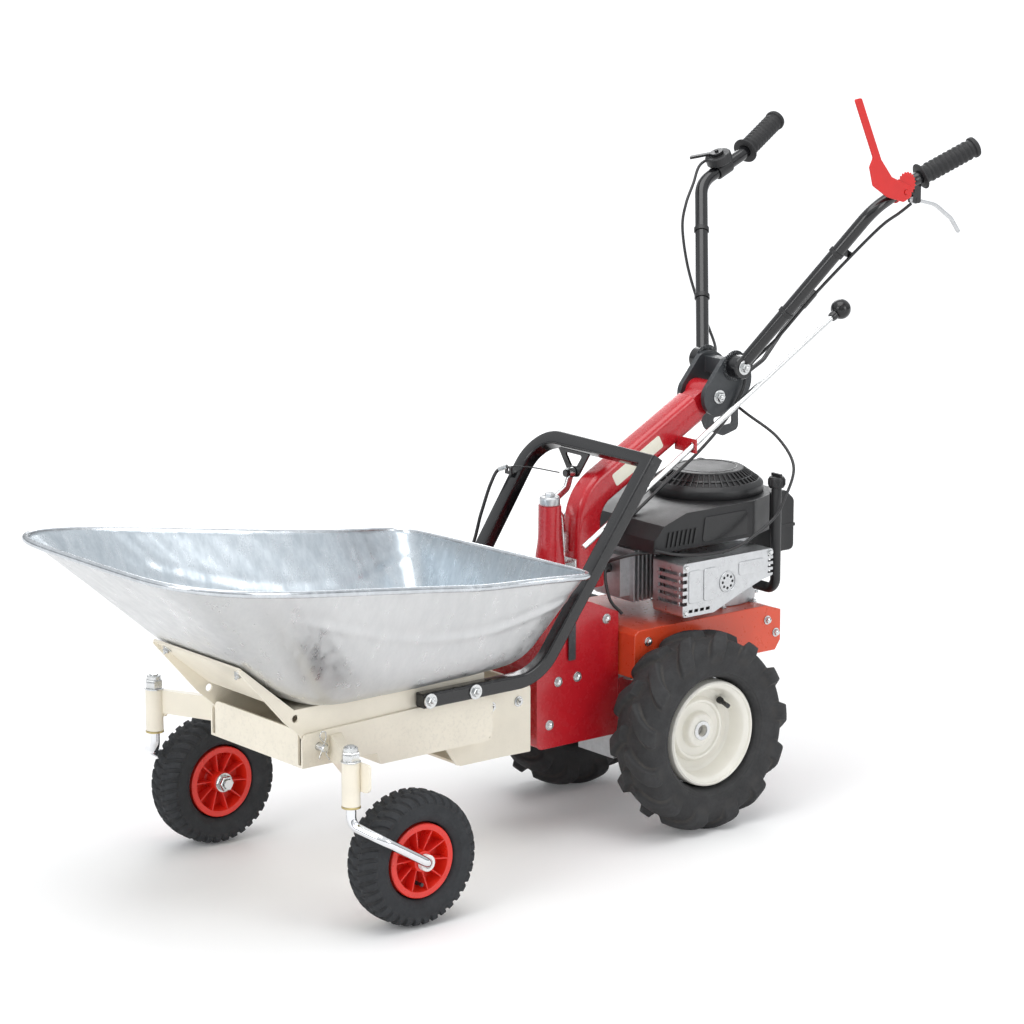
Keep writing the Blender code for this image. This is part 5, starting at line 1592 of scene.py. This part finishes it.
def serration(side):
    """36 radial teeth on a cheek's outer face."""
    teeth = []
    for k in range(36):
        tooth = prism([(.0205, -.0012), (.0270, -.0016), (.0270, .0016), (.0205, .0012)],
                      "Z", 0, .0016)
        matrix = (Matrix.Translation((side * .0366, LOBE_Y + .003, LOBE_Z + .026))
                  @ Matrix.Rotation(2 * math.pi * k / 36, 4, "X")
                  @ Matrix.Rotation(side * math.pi / 2, 4, "Y"))
        bmesh.ops.transform(tooth, matrix=matrix, verts=tooth.verts)
        teeth.append(tooth)
    return join(*teeth)


def build_clamp():
    cheek = (arc(LOBE_Y, LOBE_Z, .044, -80, 120, 32)
             + arc(BARREL_Y, BARREL_Z, .034, 150, 265, 16))
    shapes = [prism(cheek, "X", .0265, .0365), prism(cheek, "X", -.0365, -.0265),
              box(-.030, .030, .182, .204, .750, .778),
              cylinder_x(-.030, .030, ADJUST_Y, ADJUST_Z, .005, 28),
              cylinder_x(-.030, .030, BARREL_Y, BARREL_Z, .006, 28)]
    piece("clamp_cheeks", fuse("clamp_cheeks", shapes), "grey", "column_clamp", BARS,
          bevel=.0018, bevel_segments=3)
    for side, name in SIDES:
        piece("serration_" + name, serration(side), "grey", body=BARS)
        bolt_piece("barrel_bolt_" + name, "barrel", (side * .0368, BARREL_Y, BARREL_Z),
                   (side, 0, 0), BARS)
    loop = fuse("tilt_release_loop",
                [plate(RELEASE_LOOP, RELEASE_RADII, "X", -.0225, -.0185, 8)],
                [plate(RELEASE_WINDOW, .006, "X", -.03, -.01)])
    piece("tilt_release_loop", loop, "grey", body=BARS, bevel=.0008)


def clutch_ears():
    """Two ears under the left bar and the pin that the clutch lever turns on."""
    x, y, z = CLUTCH
    outline = rectangle(y - .008, y + .008, z - .006, z + .030)
    return [plate(outline, [.005, .005, 0, 0], "X", x - .0080, x - .0050, 5),
            plate(outline, [.005, .005, 0, 0], "X", x + .0050, x + .0080, 5),
            cylinder_x(x - .0085, x + .0085, y, z, .0035, 24)]


def grip_profile():
    """(radius, distance along the bar) of a grip with a flange and nine finger rings."""
    profile = [(0, .1165), (.0121, .1165), (.0121, 0), (.0222, 0), (.0235, .0010),
               (.0235, .0028), (.0222, .0040), (.0180, .0048), (.0160, .0080)]
    for k in range(9):
        z = .016 + k * .0098
        profile += [(.0156, z), (.0170, z + .0018), (.0176, z + .0040), (.0170, z + .0066),
                    (.0156, z + .0082)]
    return profile + [(.0160, .1085), (.0186, .1100), (.0190, .1130), (.0180, .1170),
                      (.0140, .1195), (.0060, .1206), (0, .1208)]


def build_bar(side, name):
    path = fillet_path([BAR_LOW, BAR_BEND, (.2235, .4381, 1.0927), (.2539, .5431, 1.1416)],
                       [.060, .04], 18)
    shapes = [sweep(path, circle(BAR_RADIUS, 40), up=(0, 1, 0)),
              lathe([(0, .0371), (.0200, .0371), (.0210, .0381), (.0210, .0600),
                     (.0195, .0620), (0, .0620)], (0, BAR_FOOT_Y, BAR_FOOT_Z), LEFT, 64)]
    if side > 0:
        shapes += clutch_ears()
    piece("bar_" + name, fuse_side(side, "bar_" + name, shapes), "black", "handlebar_" + name,
          BARS, smooth=30, bevel=.0005)
    grip = lathe(grip_profile(), GRIP_START, GRIP_END - GRIP_START, 56)
    if side < 0:
        mirror_x(grip)
    piece("grip_sleeve_" + name, grip, "grip", "grip_" + name, BARS, smooth=40)
    bolt_piece("bar_bolt_" + name, "bar", (side * .0622, BAR_FOOT_Y, BAR_FOOT_Z),
               (side, 0, 0), BARS)


def build_stop_lever():
    teeth, disc_y, disc_z = 10, .406, 1.090
    outline = []
    for k in range(teeth * 4):
        turn = math.radians(360 * k / (teeth * 4))
        radius = .0215 if k % 2 else .0182
        outline.append((disc_y + radius * math.cos(turn), disc_z + radius * math.sin(turn)))
    shapes = [prism(outline, "X", .2365, .2395),
              cylinder_x(.2365, .2455, STOP_Y, STOP_Z, .004, 28)]
    piece("stop_quadrant", fuse("stop_quadrant", shapes), "lever_red", "lever_quadrant", BARS,
          bevel=.0006)
    start = Vector((.2235, .3865, 1.0698))
    piece("quadrant_clamp", ring(start, start + BAR_ALONG * .032, .0150, BAR_CLAMP_BORE, 40),
          "lever_red", body=BARS, bevel=.0006)
    bracket = [(.384, 1.066), (.418, 1.081), (.418, 1.094), (.384, 1.084)]
    piece("quadrant_bracket", plate(bracket, .005, "X", .2336, .2366, 5), "lever_red",
          body=BARS, bevel=.0005)
    lever = fuse("stop_arm", [plate(STOP_BLADE, .006, "X", .2402, .2440)],
                 [cylinder_x(.23, .25, STOP_Y, STOP_Z, .0044, 28)])
    piece("stop_arm", lever, "lever_red", "stop_lever", "stop", bevel=.0010,
          bevel_segments=3)


def build_clutch_lever():
    x, y, z = CLUTCH
    path = fillet_path([CLUTCH, (x, .490, 1.046), (x, .530, 1.018), (x, .549, .993)],
                       [.05, .03], 12)
    shapes = [sweep(path, rounded_rect(.006, .0078, .0015, 1)),
              cylinder_x(x - .0038, x + .0038, y, z, .0075, 28)]
    lever = fuse("clutch_blade", shapes, [cylinder_x(x - .01, x + .01, y, z, .0039, 28)])
    piece("clutch_blade", lever, "guard", "clutch_lever", "clutch", bevel=.0010,
          bevel_segments=3)


def build_throttle():
    body = lathe([(0, .0121), (.0225, .0121), (.0240, .0136), (.0240, .0270), (.0225, .0288),
                  (.0060, .0290), (.0035, .0290), (.0035, .0370), (.0028, .0375), (0, .0375)],
                 THROTTLE, THROTTLE_AXIS, 56)
    piece("throttle_body", body, "plastic", "throttle_housing", BARS)
    clamp = ring(THROTTLE - BAR_ALONG * .016, THROTTLE + BAR_ALONG * .016, .0150,
                 BAR_CLAMP_BORE, 44)
    piece("throttle_clamp", clamp, "plastic", body=BARS, bevel=.0008)
    axis = THROTTLE_AXIS
    centre = THROTTLE + axis * .0295
    start = centre + Vector((-.006, 0, 0)) - BAR_ALONG * .004
    tip = centre + Vector((-.043, 0, 0)) - BAR_ALONG * .028
    shapes = [cylinder(centre, centre + axis * .0050, .012, 40),
              sweep([start + axis * .0025, tip + axis * .0025],
                    rounded_rect(.0045, .009, .001, 1), up=axis)]
    hole = cylinder(THROTTLE + axis * .0195, THROTTLE + axis * .0395, .0039, 24)
    piece("throttle_thumb", fuse("throttle_thumb", shapes, [hole]), "gloss",
          "throttle_lever", "throttle", bevel=.0008)


def build_gear_shift():
    start, end = gear_point(-.165), gear_point(.425)
    along = (end - start).normalized()
    piece("shift_rod", cylinder(start, end - along * .010, .005, 20), "zinc", "gear_rod",
          "gear_shift")
    radius = .018
    ball = [(radius * math.cos(math.radians(t)), radius * math.sin(math.radians(t)))
            for t in range(-84, 85, 6)]
    piece("shift_knob", lathe([(0, -radius)] + ball + [(0, radius)], end, along, 56), "gloss",
          body="gear_shift")
    collar = lathe([(.0052, -.026), (.0075, -.026), (.0085, -.022), (.0085, -.0165),
                    (.0052, -.0165)], end, along, 32)
    piece("shift_knob_collar", collar, "gloss", body="gear_shift")


def build_adjuster():
    x = .012
    bend, tip = (x, .330, .812), (x, .407, .874)
    path = fillet_path([(x, ADJUST_Y, ADJUST_Z), (x, .285, .765), bend, tip], [.03, .03], 12)
    shapes = [sweep(path, circle(.004, 24), up=LEFT),
              cylinder_x(.006, .018, ADJUST_Y, ADJUST_Z, .010, 28)]
    cuts = [cylinder_x(0, .03, ADJUST_Y, ADJUST_Z, .0055, 28)]
    piece("adjust_arm", fuse("adjust_arm", shapes, cuts), "black", "adjust_lever", "adjuster",
          bevel=.0006)
    sleeve = lathe([(0, -.040), (.0050, -.040), (.0062, -.036), (.0066, -.004), (.0050, 0),
                    (0, .0008)], tip, (Vector(tip) - Vector(bend)).normalized(), 28)
    piece("adjust_tip", sleeve, "plastic", body="adjuster")


# ---------------------------------------------------------------- control cables
THROTTLE_CABLE, CLUTCH_CABLE = .0026, .0028    # radii
THROTTLE_UPPER = [
    (-.232, .384, 1.094), (-.236, .350, 1.080), (-.218, .318, 1.050), (-.205, .290, 1.018),
    (-.198, .276, .978), (-.180, .272, .915), (-.150, .270, .855), (-.100, .256, .808),
    (-.060, .236, .780), (-.046, .214, .760)]
CLUTCH_UPPER = [
    (.2235, .432, 1.052), (.2225, .405, 1.038), (.214, .372, 1.018), (.186, .330, .968),
    (.140, .283, .895), (.094, .246, .822), (.052, .226, .775), (.046, .214, .752)]
THROTTLE_LOWER = [
    (-.046, .214, .760), (-.036, .216, .730), (-.004, .214, .704), (.040, .222, .680),
    (.096, .244, .644), (.148, .236, .602), (.161, .206, .553), (.160, .176, .515),
    (.156, .104, .480), (.153, .040, .474), (.148, -.030, .482), (.130, -.064, .490)]
CLUTCH_LOWER = [
    (.046, .214, .752), (.044, .206, .720), (.040, .170, .672), (.034, .110, .620),
    (.034, .020, .566), (.034, -.060, .510), (.036, -.095, .450), (.060, -.106, .400),
    (.084, -.098, .376)]


def cable(name, points, count, radius, crossing=None):
    """A cable on the handlebars, or one that runs between chassis and handlebars and is left
    fixed in place.

    crossing has the points where a blend from chassis to handlebars would start and end; when
    given, the cable is left unparented and the points are not used.
    """
    ob = make(name, sweep(smooth_path(points, count), circle(radius, 14), up=LEFT))
    ob.data.transform(Matrix.Translation(ORIGIN))
    ob.data.materials.append(MATERIALS["cable"])
    finish_mesh(ob, 60)
    if crossing:
        start, end = (tuple(Vector(p) + ORIGIN) for p in crossing)
        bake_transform(ob)
        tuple(start)
        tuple(end)
    else:
        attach(ob, BARS)


def build_cables():
    cable("throttle_cable_upper", THROTTLE_UPPER, 90, THROTTLE_CABLE)
    cable("clutch_cable_upper", CLUTCH_UPPER, 80, CLUTCH_CABLE)
    cable("throttle_cable_lower", THROTTLE_LOWER, 140, THROTTLE_CABLE,
          crossing=((0, .215, .700), (0, .212, .762)))
    cable("clutch_cable_lower", CLUTCH_LOWER, 110, CLUTCH_CABLE,
          crossing=((0, .205, .700), (0, .208, .750)))
    low, bend = Vector(BAR_LOW), Vector(BAR_BEND)
    for k, x in enumerate((.176, .110), 1):
        for side, suffix in ((1, ""), (-1, "_right")):
            along = (bend - low).normalized()
            centre = low.lerp(bend, (x - BAR_LOW[0]) / (BAR_BEND[0] - BAR_LOW[0]))
            along.x *= side
            centre.x *= side
            clip = ring(centre - along * .004, centre + along * .004, .0136, .0117, 36)
            piece("cable_clip_%d%s" % (k, suffix), clip, "plastic", body=BARS, bevel=.0005)
    lug = [(.306, .972), (.332, .960), (.336, .970), (.310, .986)]
    piece("cable_lug", plate(lug, .003, "X", .176, .182, 4), "black", body=BARS, bevel=.0006)


# ---------------------------------------------------------------- floor, light, camera
def build_floor():
    """A wide pale floor that glows more with distance, so that it fades into the backdrop."""
    floor = make("floor", box(-40, 40, -40, 40, -.02, 0))
    floor.data.transform(Matrix.Translation((0, 0, -.0005)))
    material, n, bsdf = new_material("studio_floor")
    base = n.mix(n.remap(n.noise(.8, detail=3), .3, .7, 0, 1), (.925, .925, .925),
                 (.95, .95, .95))
    n.feed(bsdf.inputs["Base Color"], base)
    bsdf.inputs["Roughness"].default_value = .75
    geometry = n.new("ShaderNodeNewGeometry")
    distance = n.new("ShaderNodeVectorMath")
    distance.operation = "LENGTH"
    n.feed(distance.inputs[0], geometry.outputs["Position"])
    bsdf.inputs["Emission Color"].default_value = (.97, .98, 1, 1)
    n.feed(bsdf.inputs["Emission Strength"],
           n.remap(distance.outputs["Value"], 1.2, 7.0, .06, .62))
    floor.data.materials.append(material)


def build_world():
    """Soft grey for lighting, a steeper gradient for reflections, near white for the camera."""
    world = bpy.data.worlds.new("studio")
    bpy.context.scene.world = world
    world.use_nodes = True
    n = Nodes(world.node_tree)
    background = world.node_tree.nodes["Background"]
    coords = n.new("ShaderNodeTexCoord")
    split = n.new("ShaderNodeSeparateXYZ")
    n.feed(split.inputs[0], coords.outputs["Generated"])
    ray = n.new("ShaderNodeLightPath")
    height = split.outputs["Z"]
    soft = n.mix(n.remap(height, -.1, 1.0, 0, 1), (.42, .44, .47), (.62, .62, .62))
    mirror = n.mix(n.remap(height, -.02, .45, 0, 1), (.20, .21, .22), (.92, .94, .96))
    lit = n.mix(ray.outputs["Is Glossy Ray"], soft, mirror)
    n.feed(background.inputs["Color"],
           n.mix(ray.outputs["Is Camera Ray"], lit, (.90, .91, .92)))
    background.inputs["Strength"].default_value = 1.0


def area_light(name, place, target, size, power):
    light = bpy.data.lights.new(name, "AREA")
    light.shape = "RECTANGLE"
    light.size, light.size_y = size
    light.energy = power
    ob = bpy.data.objects.new(name, light)
    ob.location = place
    ob.rotation_euler = (Vector(place) - Vector(target)).to_track_quat("Z", "Y").to_euler()
    bpy.context.scene.collection.objects.link(ob)


def build_camera():
    backward = Vector((.7642, -.6076, .2165)).normalized()  # from the subject to the camera
    camera = bpy.data.cameras.new("camera")
    camera.lens = 134.42
    camera.sensor_width = 36
    ob = bpy.data.objects.new("camera", camera)
    ob.location = Vector((4.93964, -4.19948, 1.96360)) + ORIGIN
    ob.rotation_euler = backward.to_track_quat("Z", "Y").to_euler()
    bpy.context.scene.collection.objects.link(ob)
    bpy.context.scene.camera = ob


# ---------------------------------------------------------------- build, in order
build_tub()
build_cradle()
build_handle_loop()
build_latch()
build_chassis_channel()
build_hitch()
for side, name in SIDES:
    build_kingpin_beam(side, name)
build_pivot()
for side, name in SIDES:
    build_caster_wheel(side, name)
    build_caster_arm(side, name)
    build_drive_wheel(side, name)
build_deck()
build_shield()
build_mast()
build_column()
build_crankcase()
build_cowl()
build_starter()
build_tank()
build_silencer_guard()
build_dipstick()
build_spark_lead()
build_air_cleaner()
build_drive_train()
build_clamp()
for side, name in SIDES:
    build_bar(side, name)
build_stop_lever()
build_clutch_lever()
build_throttle()
build_gear_shift()
build_adjuster()
build_cables()
build_floor()
build_world()
area_light("overhead", place=(0.4, -.4, 4.2), target=(0, 0, .3), size=(3.4, 3.4), power=92)
area_light("front_left", place=(1.2, -4.6, 2.6), target=(0, -.2, .4), size=(2.2, 2.2), power=62)
area_light("right_side", place=(4.6, 1.6, 2.2), target=(0, .2, .5), size=(1.8, 2.4), power=46)
area_light("back", place=(-3.4, 2.6, 2.6), target=(0, 0, .5), size=(2.2, 2.2), power=44)
build_camera()
bpy.context.scene.view_settings.view_transform = "Standard"
